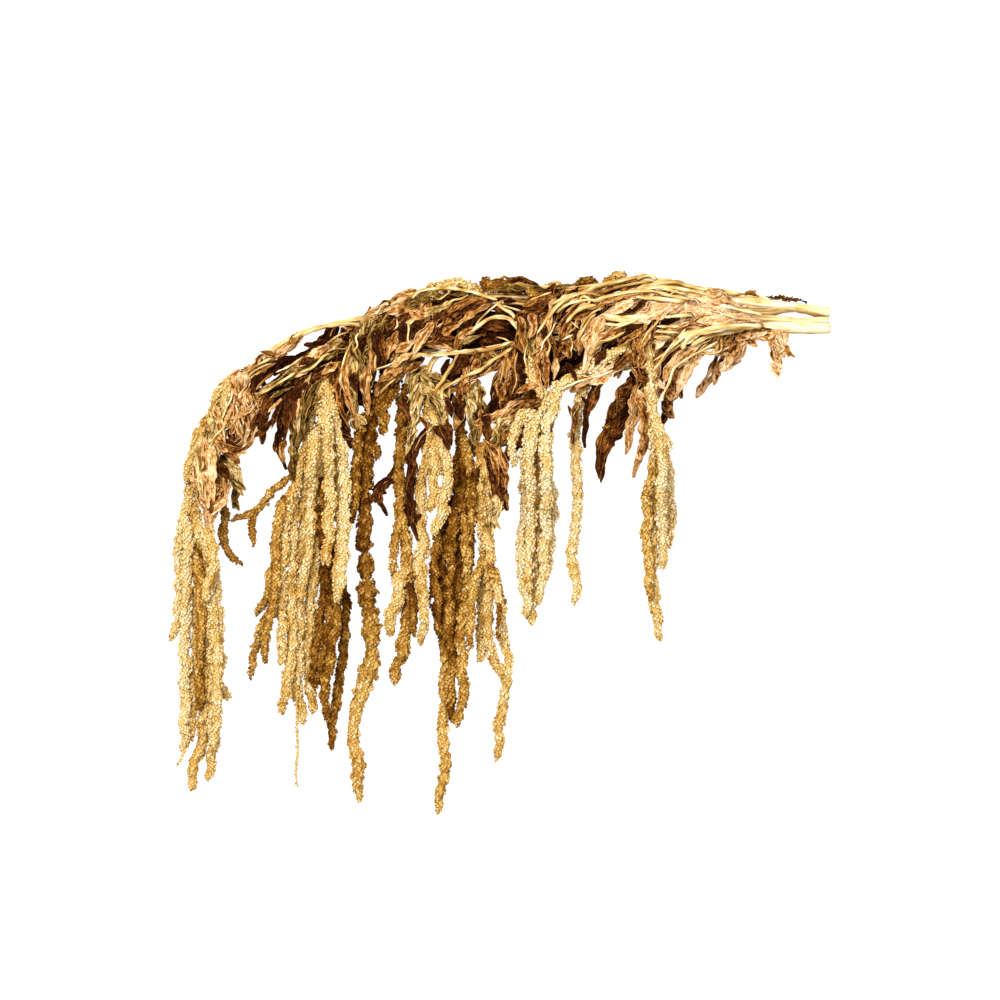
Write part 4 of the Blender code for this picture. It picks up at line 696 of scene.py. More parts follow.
# %% Lay a stalk and its tassel
def snap_root(points, parent):
    """Move a route's first point onto the parent's centre line, and give the height there."""
    px, pz = parent["xy"], parent["z"]
    first = from_plan(points[:1])[0]
    best = None
    for i in range(len(px) - 1):
        seg = px[i + 1] - px[i]
        t = float(np.clip(np.dot(first - px[i], seg) / max(np.dot(seg, seg), 1e-9), 0, 1))
        at = px[i] + t * seg
        gap = float(np.hypot(*(first - at)))
        if best is None or gap < best[0]:
            best = (gap, at, pz[i] + t * (pz[i + 1] - pz[i]))
    return [to_plan(best[1])] + points[1:], best[2]


def seat_route(points, seat):
    """Start a route just beyond a stalk's cut-off end, in the stalk's own direction."""
    first = [to_plan(seat["xy"] + reach * seat["along"]) for reach in (REST_GAP, SEAT_RUN)]
    return first + points[1:]


def lay_plant(stalk, tassel, field, count):
    """Lay a stalk and its tassel over the field: their two lists of meshes, and the seat.

    The main stem and the main spike come first. The spike is seated just beyond the
    stem's cut-off end, and the stem rises ahead for what the spike will lie on. All
    that grows on the two lies over both. An element may run through its own solid
    at its root, but never through the other one.
    """
    rows = (stalk, tassel)
    before = field.copy()
    others = (field.copy(), field.copy())
    made = ([], [])
    seat = None
    order = [(0, 0), (1, 0)] + [(0, i) for i in range(1, len(stalk))]
    order += [(1, i) for i in range(1, len(tassel))]
    for who, i in order:
        kind, parent, _, widths, points, _ = rows[who][i]
        number = count + who * len(stalk) + i + 1
        start = None
        rest = others[who]
        if parent >= 0:
            points, start = snap_root(points, made[who][parent])
        elif who:
            points, start, rest = seat_route(points, seat), seat["z"], before
        if kind == "l":
            xy, _, run = smooth_route(points, (1, 1), BLADE_STEP, True)
            verts, faces, z = leaf_parts(xy, run, field, rest, widths, start, number)
        else:
            xy, rad, run, fine, pos, r = tube_line(kind, widths, points, start is not None)
            need = tube_need(fine, pos, r, field)
            need_rest = tube_need(fine, pos, r, rest)
            if (who, i) == (0, 0):
                _, _, _, far, far_pos, far_r = tube_line("s", tassel[0][3], tassel[0][4], False)
                ahead = (far > 0) & (far < LOOK_AHEAD)
                need = np.append(need, tube_need(far, far_pos, far_r, field)[ahead])
                need_rest = need
                fine = np.append(fine, run[-1] + far[ahead])
            z = settle(run, fine, need, need_rest, BEND[kind], start)
            sides = {"t": SOLID_STALK_SIDES, "s": SOLID_SPIKE_SIDES, "w": SOLID_THREAD_SIDES}[kind]
            verts, faces = tube_mesh(xy, z, rad, sides, KNOB_HEIGHT if kind == "s" else 0.0, number)
        made[who].append({"xy": xy, "z": z, "verts": verts, "faces": faces})
        field.cover(verts, faces)
        others[1 - who].cover(verts, faces)
        if (who, i) == (0, 0):
            along = (xy[-1] - xy[-2]) / np.hypot(*(xy[-1] - xy[-2]))
            seat = {"xy": xy[-1], "along": along, "z": z[-1]}
    return made, seat

# %% Lay the bunch
TENTH = 10


def dressed_widths(row, seat):
    """The half widths of an element: one for each station, or the ends of its spread."""
    kind, parent, _, widths, points, narrow = row
    if not isinstance(widths, tuple):
        return [narrow * PLAN_UNIT]
    if len(widths) == 2:
        return [width * PLAN_UNIT for width in widths]
    if seat and parent < 0:
        points = seat_route(points, seat)
    if len(points) == len(widths) + 1:
        widths = widths[:1] + widths
    step = {"t": STALK_STATION_STEP, "s": SPIKE_STATION_STEP}[kind]
    return np.round(smooth_route(points, widths, step, True)[1] / PLAN_UNIT, 1) * PLAN_UNIT


def lay_bunch(plan):
    """Lay all plants in turn, and give each node its elements as [kind, shade, stations].

    A station is x, y, z and the half width there, in mm, with the places rounded to
    a tenth. The lowest point of the solids is brought down to the surface.
    """
    names = list(plan)
    field = Field()
    laid, seats = {}, {}
    count = 0
    for stalk, tassel in zip(names[::2], names[1::2]):
        made, seats[tassel] = lay_plant(plan[stalk], plan[tassel], field, count)
        laid[stalk], laid[tassel] = made
        count += len(plan[stalk]) + len(plan[tassel])
    lowest = min(part["verts"][:, 2].min() for parts in laid.values() for part in parts)
    plants = {}
    for name, parts in laid.items():
        plants[name] = []
        for row, part in zip(plan[name], parts):
            at = np.column_stack([part["xy"], part["z"] - lowest])
            at = np.round(at * TENTH).astype(int) / TENTH
            wide = dressed_widths(row, seats.get(name))
            if len(wide) != len(at):
                run = run_along(at)
                wide = np.interp(run / run[-1], np.linspace(0, 1, len(wide)), wide)
            plants[name].append([row[0], row[2], np.column_stack([at, wide])])
    return plants


plants = lay_bunch(bunch_plan)
print("stations:", sum(len(row[2]) for rows in plants.values() for row in rows))

# %% [markdown]
# ## Smooth centre lines
#
# The stations are up to 30 mm apart, too far for a fine mesh. So the same kind of curve is
# run through them in space and cut into even steps, so that florets and wrinkles keep one
# size all along it.

# %% Smooth paths and the directions along them
SPAN_CUTS = 12
LEAST_HALF_WIDTH = 0.3


def smooth_path(stations, step):
    """Run a Catmull-Rom curve through the stations and space it evenly.

    Returns the points, how far along each is, and the half width there.
    """
    line = catmull_rom(stations, SPAN_CUTS)
    run = run_along(line[:, :3])
    stops = np.linspace(0, run[-1], max(5, round(run[-1] / step) + 1))
    path = np.column_stack([np.interp(stops, run, line[:, k]) for k in range(4)])
    return path[:, :3], stops, np.maximum(path[:, 3], LEAST_HALF_WIDTH)


def unit(vectors):
    """Vectors of length 1 in the same directions."""
    return vectors / np.maximum(np.linalg.norm(vectors, axis=-1, keepdims=True), 1e-9)


def directions(path):
    """Unit vectors along the path, level to its left, and over it."""
    along = unit(np.gradient(path, axis=0))
    left = unit(np.cross([0.0, 0.0, 1.0], along))
    return along, left, np.cross(along, left)


def smoothed(line, times):
    """A line whose inner values are averaged with their neighbours a number of times."""
    line = line.copy()
    for _ in range(times):
        line[1:-1] = (line[:-2] + 2 * line[1:-1] + line[2:]) / 4
    return line


longest = max(smooth_path(row[2], 5)[1][-1] for rows in plants.values() for row in rows)
print("longest element:", round(longest), "mm")

# %% [markdown]
# ## Unevenness
#
# Dried plants are uneven at every size. A sum of a few sine waves that run in random
# directions is a cheap smooth noise, and with a seed for each element it comes out the
# same on every run.

# %% Seeded ripples and straight rises
def ripple(points, size, seed, waves=6):
    """Smooth unevenness, mostly between -1 and 1, with bumps of about the given size.

    It is the sum of sine waves with random directions and phases and with
    lengths from 0.7 to 1.4 times twice the size, scaled by the root of their number.
    """
    dice = np.random.default_rng(seed)
    points = np.asarray(points, float)
    way = unit(dice.normal(size=(waves, points.shape[-1])))
    way *= np.pi / (size * dice.uniform(0.7, 1.4, (waves, 1)))
    turn = dice.uniform(0, 2 * np.pi, waves)
    return np.sin(points @ way.T + turn).sum(-1) / math.sqrt(waves)


def ripple_along(run, size, seed):
    """The same unevenness along a line."""
    return ripple(np.asarray(run, float)[..., None], size, seed, 4)


def crease(points, size, seed):
    """Sharp ridges that meet like those of crumpled paper: 1 - 2.4 |ripple|, and at least -1."""
    return np.maximum(1 - 2.4 * np.abs(ripple(points, size, seed)), -1)


def rise(values, start, over):
    """0 up to the start, 1 from start + over on, and straight between."""
    return np.clip((values - start) / over, 0, 1)


sample = ripple_along(np.linspace(0, 500, 2000), 10, 3)
print("ripple runs from", sample.min().round(2), "to", sample.max().round(2))

# %% [markdown]
# ## Grids of triangles
#
# A surface over two parameters is a grid of points, row by row. Its triangles are only
# index arithmetic: the corner numbers of every cell come from one broadcast sum, and the
# points are never looped over.

# %% Triangles of a grid and of a tube
def grid_triangles(rows, cols, around=False):
    """Two triangles for each cell of a grid, numbered row by row.

    With around, the last column joins the first one again.
    """
    i = np.arange(rows - 1)[:, None]
    k = np.arange(cols if around else cols - 1)[None, :]
    a = i * cols + k
    b = i * cols + (k + 1) % cols
    cells = np.stack([a, b, b + cols, a, b + cols, a + cols], -1)
    return cells.reshape(-1, 3)


def tube(path, radius, sides):
    """Carry rings along a path and close both ends with a fan.

    Point k of ring i is path_i + r_ik (cos(2 pi k / sides) left_i + sin(...) over_i).
    Radius is one value per ring, or one per ring and side.
    """
    _, left, over = directions(path)
    turn = 2 * np.pi * np.arange(sides) / sides
    radius = np.broadcast_to(np.reshape(radius, (len(path), -1)), (len(path), sides))[..., None]
    rings = path[:, None] + radius * (np.cos(turn)[None, :, None] * left[:, None]
                                      + np.sin(turn)[None, :, None] * over[:, None])
    verts = np.vstack([rings.reshape(-1, 3), path[:1], path[-1:]])
    k = np.arange(sides)
    last = (len(path) - 1) * sides
    root = np.column_stack([(k + 1) % sides, k, np.full(sides, len(verts) - 2)])
    tip = np.column_stack([last + k, last + (k + 1) % sides, np.full(sides, len(verts) - 1)])
    return verts, np.vstack([grid_triangles(len(path), sides, True), root, tip])


def capped(rings):
    """Values for all points of a tube: those of its rings, and one for each end."""
    return np.concatenate([rings.ravel(), rings[0, :1], rings[-1, :1]])


print("triangles of a 3 by 4 grid:", len(grid_triangles(3, 4)))

# %% [markdown]
# ## One mesh for each node
#
# Each node is dressed by one object whose mesh joins all its elements. An element is a
# small dictionary: its vertices in mm, its triangles, a UV place for each vertex, a tone
# from 0 (darkest) to 1 (palest) for each vertex, and the finish that it takes. The tone
# lets one colour ramp serve near-black leaves and pale ones.

# %% Elements and pieces
FLOOR_GAP = 0.1
MM = 0.001
UV_UNIT = 100


def element(finish, verts, tris, tone, uv=None):
    """Collect one element, and press down what would reach below the surface."""
    verts = np.array(verts, float)
    verts[:, 2] = np.maximum(verts[:, 2], FLOOR_GAP)
    tone = np.broadcast_to(np.clip(tone, 0, 1), len(verts))
    uv = np.zeros((len(verts), 2)) if uv is None else uv
    return {"finish": finish, "verts": verts, "tris": tris, "tone": tone, "uv": uv}


def dress(name, parts, finishes):
    """Join elements into one object, with its place in its mesh and in metres."""
    starts = np.cumsum([0] + [len(part["verts"]) for part in parts[:-1]])
    verts = np.vstack([part["verts"] for part in parts]) * MM
    tris = np.vstack([part["tris"] + start for part, start in zip(parts, starts)])
    used = sorted({part["finish"] for part in parts})
    index = np.concatenate([np.full(len(part["tris"]), used.index(part["finish"]))
                            for part in parts])
    uv = np.vstack([part["uv"] for part in parts])
    tone = np.concatenate([part["tone"] for part in parts])
    mesh = bpy.data.meshes.new(name)
    mesh.vertices.add(len(verts))
    mesh.vertices.foreach_set("co", verts.ravel())
    mesh.loops.add(tris.size)
    mesh.loops.foreach_set("vertex_index", tris.ravel())
    mesh.polygons.add(len(tris))
    mesh.polygons.foreach_set("loop_start", np.arange(len(tris)) * 3)
    mesh.polygons.foreach_set("material_index", index)
    # Faces of the crumpled leaves stay flat, which gives them their crisp creases
    crisp = np.concatenate([np.full(len(part["tris"]), "leaf" in part["finish"])
                            for part in parts])
    mesh.polygons.foreach_set("use_smooth", ~crisp)
    mesh.update(calc_edges=True)
    mesh.uv_layers.new(name="surface").data.foreach_set("uv", uv[tris.ravel()].ravel())
    mesh.attributes.new("tone", "FLOAT", "POINT").data.foreach_set("value", tone)
    for finish in used:
        mesh.materials.append(finishes[finish])
    piece = bpy.data.objects.new(name, mesh)
    bpy.context.scene.collection.objects.link(piece)
    return piece


# %% [markdown]
# ## Flower spikes
#
# An amaranth spike is a thin thread hidden by knots of florets, each floret a dry bud 1 to
# 2 mm long. Displacing a tube would need millions of faces to show them. Here each floret
# is a bud of ten triangles, and a spike takes some three hundred for each 10 cm of its
# length. They are placed as plants place them, each turned by the golden angle from the
# one before, over a core a little darker than they are, as painted shade between them.
# Few are set on the underside.

# %% The bud and its settings
FLORET_PITCH = 2.2
GOLDEN_TURN = math.pi * (3 - math.sqrt(5))
BUD_RING = 5

bud_turn = 2 * np.pi * (np.arange(BUD_RING) + 0.5) / BUD_RING
BUD = np.vstack([
    [[0.0, -0.1, -0.55]],
    np.column_stack([0.66 * np.cos(bud_turn), 0.70 * np.sin(bud_turn),
                     0.14 + 0.08 * np.sin(bud_turn)]),
    [[0.0, 0.22, 0.72]],
])
bud_next = (np.arange(BUD_RING) + 1) % BUD_RING
BUD_TRIS = np.vstack([
    np.column_stack([np.zeros(BUD_RING, int), 1 + bud_next, 1 + np.arange(BUD_RING)]),
    np.column_stack([1 + np.arange(BUD_RING), 1 + bud_next, np.full(BUD_RING, 1 + BUD_RING)]),
])
# The base of each bud is darker: painted shade where it meets the core.
BUD_PAINTED_SHADE = np.array([-0.07] + [0.0] * (BUD_RING + 1))
print("faces of a bud:", len(BUD_TRIS))

# %% The form of a spike
SPIKE_TONE = {"l": 0.81, "g": 0.73, "m": 0.51, "d": 0.29, "k": 0.15, "b": 0.15, "p": 0.52}
NODE_TONE = {"tassel_h": 0.11, "tassel_g": 0.03, "tassel_a": 0.02, "tassel_j": 0.07,
             "tassel_e": -0.03}
SHADY_TONE = {"tassel_d": 0.24, "tassel_g": 0.15}
LUMP = {"l": 0.19, "g": 0.22, "m": 0.20, "d": 0.20, "k": 0.20, "b": 0.50, "p": 0.40}
KNOT = 3.6
CORE_SIDES = 6
CORE_SHARE = 0.83
# The core is darker than its buds: painted shade between them.
CORE_PAINTED_SHADE = -0.05
LONG_SPIKE = 300


def spike_radius(run, wide):
    """Half width of a spike: slim at the root, full along it, then tapered to a blunt tip.

    The taper is 0.62 + 0.38 s / 26 for s mm before the tip, and less on short spikes.
    """
    left = run[-1] - run
    taper = np.minimum(1, 0.62 + 0.38 * left / min(26, 0.55 * run[-1]))
    tip = np.sqrt(np.clip(left / 4.5, 0.03, 1))
    return 0.95 * wide * np.minimum(1, 0.45 + 0.55 * run / 12) * taper * (0.15 + 0.85 * tip)


def wandering(path, run, size, amount, seed):
    """Move a path sideways by ripples, but not at its root."""
    _, left, over = directions(path)
    free = np.minimum(1, run / 15)[:, None] * amount
    return (path + free * ripple_along(run, size, seed)[:, None] * left
            + 0.4 * free * ripple_along(run, size, seed + 1)[:, None] * over)


def knot_places(run, turn, radius):
    """Where a point of a spike is, with the spike pulled straight."""
    run, turn, radius = np.broadcast_arrays(run, turn, radius)
    return np.stack([run, radius * np.cos(turn), radius * np.sin(turn)], -1)


def spike_core(path, run, radius, shade, seed):
    """The middle of a spike, darkened as painted shade: a low tube with the lumps of its knots."""
    every_other = slice(None, None, 2)
    path, run, radius = path[every_other], run[every_other], radius[every_other]
    turn = 2 * np.pi * np.arange(CORE_SIDES) / CORE_SIDES
    lump = ripple(knot_places(run[:, None], turn[None, :], radius[:, None]), KNOT, seed)
    verts, tris = tube(path, radius[:, None] * (CORE_SHARE + LUMP[shade] * lump), CORE_SIDES)
    tone = spike_shade(run[:, None] + 0 * turn[None, :], run[-1], shade) + CORE_PAINTED_SHADE
    return element("floret", verts, tris, capped(tone))


def spike_shade(at, length, shade):
    """Tone along a spike: darker at its root with painted shade, browner at its tip, and paler down
    a dark one.

    The two longest dark ones turn golden in their lower half.
    """
    tone = SPIKE_TONE[shade]
    gain = (0.60 - tone) * rise(at / length, 0.45, 0.3) * (length > LONG_SPIKE) * (tone < 0.5)
    # Painted shade: the first 26 mm of a spike are darker, as under the leaves over its root. The
    # last fifth is browner.
    ends = 0.12 * np.clip(1 - at / 26, 0, 1) + 0.08 * np.clip(5 * at / length - 4, 0, 1)
    return tone + gain + 0.08 * (shade == "d") * at / length - ends


# %% Cover a spike with florets
UNDERSIDE_SHARE = 0.45
HIDDEN_SHARE = 0.12


def spike_florets(path, run, radius, shade, seed, hidden):
    """Buds all over a spike, one for each square of the pitch.

    The places along it follow the skin area summed from the root, so the buds
    are as dense on slim parts as on full ones. The function hidden tells which places
    lie deep in the bunch, and only a few buds are set there.
    """
    dice = np.random.default_rng(seed)
    along, left, over = directions(path)
    skin = np.concatenate([[0], np.cumsum(np.pi * (radius[1:] + radius[:-1]) * np.diff(run))])
    count = max(12, int(skin[-1] / FLORET_PITCH ** 2))
    turn = np.arange(count) * GOLDEN_TURN + dice.normal(0, 0.2, count)
    where = (np.arange(count) + dice.uniform(0.1, 0.9, count)) / count * skin[-1]
    at = np.interp(where, skin, run)

    def there(values):
        return np.column_stack([np.interp(at, run, values[:, k]) for k in range(3)])

    out = unit(np.cos(turn)[:, None] * there(left) + np.sin(turn)[:, None] * there(over))
    place = there(path) + out * np.interp(at, run, radius)[:, None]
    luck = dice.uniform(size=count)
    under = np.sin(turn) <= -0.45
    seen = (~under | (luck < UNDERSIDE_SHARE)) & (~hidden(place) | (luck < HIDDEN_SHARE))
    turn, at, out = turn[seen], at[seen], out[seen]
    count = len(turn)
    near = np.interp(at, run, radius)
    ahead = unit(there(along))
    lump = ripple(knot_places(at, turn, near), KNOT, seed)
    reach = near * (0.84 + LUMP[shade] * lump)
    # Some buds stand out of the knots, and some are sunk in them
    reach = reach + dice.choice([0, 0.6, -0.4], count, p=[0.64, 0.18, 0.18])
    place = there(path) + out * np.maximum(reach, LEAST_HALF_WIDTH)[:, None]
    lean = unit(out + 0.3 * ahead + dice.normal(0, 0.25, (count, 3)))
    side = unit(np.cross(ahead, lean))
    front = np.cross(lean, side)
    size = FLORET_PITCH * dice.uniform(0.82, 1.2, count) * np.clip(near / 2.2, 0.7, 1)
    slim = size * dice.uniform(0.85, 1.15, count)
    verts = (place[:, None] + (slim[:, None] * BUD[:, 0])[..., None] * side[:, None]
             + (size[:, None] * BUD[:, 1])[..., None] * front[:, None]
             + (size[:, None] * BUD[:, 2])[..., None] * lean[:, None])
    tris = (BUD_TRIS[None] + (np.arange(count) * len(BUD))[:, None, None]).reshape(-1, 3)
    own = spike_shade(at, run[-1], shade) + 0.5 * LUMP[shade] * lump + dice.normal(0, 0.045, count)
    # Painted light and shade: buds on top of a spike are paler, those on its sides and underside
    # darker.
    own += (0.05 * ripple_along(at, 18, seed + 5) + 0.15 * (np.sin(turn) - 0.6)
            + 0.04 * math.sin(2.1 * seed))
    tone = (own[:, None] + BUD_PAINTED_SHADE[None]).ravel()
    return element("floret", verts.reshape(-1, 3), tris, tone)


def spike_line(stations, seed):
    """Path, run and half width of a spike, with its wander and its swellings."""
    path, run, wide = smooth_path(stations, 1.6)
    path = wandering(path, run, 13, 0.9, seed + 7)
    return path, run, spike_radius(run, wide) * (1 + 0.10 * ripple_along(run, 6, seed + 9))


# %% [markdown]
# ## Crumpled leaves
#
# The leaves dried while they hung, so each has shrunk across and crumpled like paper. A
# leaf is a sheet over two parameters: t from stalk to tip and v from edge to edge. Folding
# is added step by step: the fold of the frame's blade, a curl of each half, lengthwise
# pleats, a net of sharp creases, a ruffle that grows towards the ragged edges. Light and
# shade are painted on the folds: ridges are paler and grooves darker, so the tone is set
# by how far a point stands over the smoothed sheet, and falls faster in a groove than it
# rises on a ridge. Small scraps and narrow strips lie on each leaf.

# %% Leaf outline
LEAF_STEP = 1.9
LEAF_CELL = 0.82
LEAF_SHEET = 0.35
LEAF_LIFT = 0.5
LEAF_TONE = {"k": 0.13, "b": 0.28, "r": 0.45, "t": 0.65, "p": 0.79, "o": 0.64, "g": 0.40}
LEAF_RELIEF = {"k": 0.5, "b": 0.7, "p": 0.7}


def leaf_half_width(t, width):
    """Half width: 0.9 + 0.62 width sin(pi t^0.62)^0.7 (1 - 0.2 t), as the frame's blades have."""
    return 0.9 + 0.62 * width * np.maximum(np.sin(np.pi * t ** 0.62), 0) ** 0.7 * (1 - 0.2 * t)


def ragged(half, run, seed):
    """An edge that waves, and is torn here and there."""
    wave = 0.11 * ripple_along(run, 6, seed) + 0.08 * np.abs(ripple_along(run, 2.6, seed + 1))
    tear = 0.45 * np.clip(ripple_along(run, 7, seed + 2) - 0.8, 0, 0.8)
    return half * np.clip(1 + wave - tear, 0.5, 1.2)


# %% Leaf sheet
def soften(heights, times):
    """Heights of a grid, each averaged with its neighbours a number of times."""
    for _ in range(times):
        wide = np.pad(heights, 1, mode="edge")
        heights = (wide[:-2, 1:-1] + wide[2:, 1:-1] + wide[1:-1, :-2] + wide[1:-1, 2:]
                   + 2 * heights) / 6
    return heights


def pleated_sheet(path, run, half, curl, pleats, depth, cols, seed):
    """Points of a crumpled sheet along a path, how far each stands out, and its grid.

    Half a sheet of reach r turns by c v over its arc, so a point of it is at r sin(c v) / c
    across and r (1 - cos(c v)) / c up. The reach grows by c / sin c, and at most 1.3, so
    that a curled leaf still fills its width. Square to that arc stand pleats of height
    1 - |sin(pi p)|, where p is pleats v / 2 plus a ripple, and two nets of long creases.
    """
    _, left, _ = directions(path)
    v = np.linspace(-1, 1, cols)[None, :]
    sign = np.where(v < 0, -1.0, 1.0)
    reach = np.where(v > 0, ragged(half, run, seed)[:, None],
                     ragged(half, run, seed + 500)[:, None])
    curl = np.where(np.abs(curl) < 0.08, 0.08, curl)
    turn = np.abs(curl * v)
    reach = reach * np.clip(np.abs(curl) / np.maximum(np.sin(np.abs(curl)), 0.1), 1, 1.3)
    across = reach * sign * np.sin(turn) / np.abs(curl)
    climb = reach * (1 - np.cos(turn)) / curl
    climb = climb - 0.7 * np.minimum(climb.min(axis=1, keepdims=True), 0)
    grid = np.stack(np.broadcast_arrays(run[:, None], v * half.max()), -1)
    phase = 0.5 * pleats * v + 0.6 * ripple(grid / [4.5, 1], 4, seed + 80) + 0.3 * seed
    high = (0.9 * (1 - np.abs(np.sin(np.pi * phase)) - 0.45)
            + 0.5 * crease(grid / [3.6, 1], 4.5, seed + 90))
    high = depth[:, None] * (high + 0.28 * crease(grid / [2.8, 1], 2.6, seed + 92))
    ruffle = ((0.2 + np.abs(v) ** 1.5) * np.minimum(1.4, 0.22 * half)[:, None]
              * ripple(grid / [1.6, 1], 5, seed + 95))
    across = across - high * sign * np.sin(turn) * np.sign(curl)
    lift = climb + high * np.cos(turn) + ruffle
    middle = path[:, None] + across[..., None] * left[:, None]
    middle[..., 2] += lift
    proud = np.clip((lift - soften(lift, 4)) / 0.45, -1.2, 1.2)
    return middle, proud, grid


def painted_fold_shade(proud):
    """Painted light and shade on a crumpled sheet: 0.15 per unit on ridges and 0.28 in grooves."""
    return np.where(proud > 0, 0.15, 0.28) * proud


def crumpled_leaf(shade, stations, number):
    """The main sheet of a leaf as a closed element, and its middle points for the scraps."""
    path, run, wide = smooth_path(stations, LEAF_STEP)
    path = wandering(path, run, 16, 0.8, number + 7)
    t = run / run[-1]
    half = leaf_half_width(t, wide[0])
    cols = max(7, int(np.ceil(2 * half.max() / LEAF_CELL)) | 1)
    v = np.linspace(-1, 1, cols)[None, :]
    curl = 0.8 * ripple_along(run, 18, number + 40)[:, None] + 0.6 * np.sign(v) * math.sin(number)
    relief = LEAF_RELIEF.get(shade, 1.0)
    curl = relief * np.clip(curl, -1.2, 1.6)
    depth = relief * np.minimum(1.9, 0.32 * half)
    pleats = max(2.4, half.max() / 1.7)
    middle, proud, grid = pleated_sheet(path, run, half, curl, pleats, depth, cols, number)
    # The frame's fold: a crease along the midrib, and edges that wave up and down
    fold = 0.30 * math.sin(2.4 * number + 0.7)
    turns = 0.20 * np.sin(2.4 * t * (len(stations) - 1) + number)
    middle[..., 2] += np.abs(v) * half[:, None] * (fold + np.sign(v) * turns[:, None])
    middle[..., 2] = np.maximum(middle[..., 2], LEAF_LIFT)
    patches = 0.10 * ripple(grid / [3.0, 1], 6, number + 97)
    tone = LEAF_TONE[shade] + relief * (painted_fold_shade(proud) + patches)
    return sheet_element(shade, middle, tone, grid), middle


def sheet_element(shade, middle, tone, grid):
    """Close a sheet and give it its finish, with a UV in units of 100 mm.

    Whatever of its middle comes too near the floor is lifted.
    """
    middle = np.dstack([middle[..., :2], np.maximum(middle[..., 2], LEAF_LIFT)])
    normal = unit(np.cross(np.gradient(middle, axis=0), np.gradient(middle, axis=1)))
    verts, tris = thin_sheet(middle, normal, LEAF_SHEET)
    both = np.concatenate([tone.ravel(), tone.ravel()])
    finish = "olive leaf" if shade in "og" else "leaf"
    return element(finish, verts, tris, both, np.vstack([grid.reshape(-1, 2) / UV_UNIT + 0.5] * 2))


# %% Scraps on a leaf
AREA_OF_A_SCRAP = 95
MOST_SCRAPS = 7


def scrap(shade, centre, heading, length, half, tone, seed):
    """A small crumpled sheet, pointed at both ends, that bows up round its centre."""
    dice = np.random.default_rng(seed)
    run = np.linspace(0, length, max(6, round(length / 2.2) + 1))
    s = (run - 0.5 * length)[:, None]
    ahead = np.array([math.cos(heading), math.sin(heading), 0.0])
    side = np.array([-ahead[1], ahead[0], 0.0])
    path = centre + s * ahead + dice.normal(0, 0.012) * s ** 2 * side
    path = path + [0, 0, 1] * (dice.normal(0, 0.14) * s - 0.010 * s ** 2)
    profile = half * (0.22 + 0.78 * np.maximum(np.sin(np.pi * run / length), 0) ** 0.7)
    curl = np.clip(1.2 * ripple_along(run, 10, seed + 40)[:, None] + 0.4, -1.3, 1.9)
    cols = 5 if half < 2.4 else 7
    sheet, proud, grid = pleated_sheet(path, run, profile, curl, 2.0, 0.42 * profile, cols, seed)
    edge = np.abs(np.linspace(-1, 1, cols))[None, :] ** 3
    return sheet_element(shade, sheet, tone + painted_fold_shade(proud) + 0.08 * edge, grid)


def breadth(middle):
    """How wide a leaf's sheet is at half its length."""
    row = middle[len(middle) // 2]
    return np.linalg.norm(row[0] - row[-1])


def leaf_scraps(shade, middle, number):
    """Scraps scattered over a leaf, most of them along it."""
    dice = np.random.default_rng(number + 5000)
    rows, cols = middle.shape[:2]
    count = LEAF_RELIEF.get(shade, 1.0) * rows * LEAF_STEP * breadth(middle) / AREA_OF_A_SCRAP
    made = []
    for turn in range(int(np.clip(count, 0, MOST_SCRAPS))):
        row = dice.integers(2, rows - 2)
        centre = middle[row, dice.integers(0, cols)] + [0, 0, dice.uniform(0.5, 1.9)]
        way = middle[min(row + 2, rows - 1), cols // 2] - middle[row - 2, cols // 2]
        heading = math.atan2(way[1], way[0]) + dice.normal(0, 0.5)
        tone = LEAF_TONE[shade] + dice.normal(-0.03, 0.12)
        made.append(scrap(shade, centre, heading, dice.uniform(9, 22), dice.uniform(1.3, 3.4), tone,
                          number * 11 + turn))
    return made


# %% Strips that curled on a leaf
STRIP_LIFT = 1.3
STRIP_COLUMNS = 5


def leaf_strips(shade, middle, number):
    """Narrow curled strips that wander along a leaf, a little above it.

    A strip's line is read from the leaf's grid at a column that wanders, then
    smoothed, so that it bridges the pleats.
    """
    dice = np.random.default_rng(number + 3000)
    rows, cols = middle.shape[:2]
    made = []
    for turn in range(int(np.clip(breadth(middle) / 5, 1, 3))):
        seed = number * 7 + turn
        first = int(dice.uniform(0, 0.35) * rows)
        last = int(dice.uniform(0.65, 1.0) * rows)
        if last - first < 6:
            continue
        row = np.arange(first, last)
        at = dice.uniform(-0.75, 0.75) + 0.35 * ripple_along(row * LEAF_STEP, 14, seed)
        column = (np.clip(at, -0.95, 0.95) + 1) / 2 * (cols - 1)
        low = np.minimum(column.astype(int), cols - 2)
        part = (column - low)[:, None]
        path = middle[row, low] * (1 - part) + middle[row, low + 1] * part
        path = smoothed(path, 2) + [0, 0, STRIP_LIFT]
        run = run_along(path)
        t = run / run[-1]
        half = dice.uniform(0.6, 1.8) * (0.35 + 0.65 * np.sin(np.pi * t ** 0.8))
        curl = np.clip(1.6 * ripple_along(run, 10, seed + 40)[:, None] + 0.5, -1.2, 2.4)
        sheet, proud, grid = pleated_sheet(path, run, half, curl, 1.5, 0.3 * half,
                                           STRIP_COLUMNS, seed)
        edge = np.abs(np.linspace(-1, 1, STRIP_COLUMNS))[None, :]
        tone = LEAF_TONE[shade] + dice.normal(0.03, 0.13) + painted_fold_shade(proud) + 0.12 * edge
        made.append(sheet_element(shade, sheet, tone + 0.1 * ripple(grid, 6, seed + 5), grid))
    return made


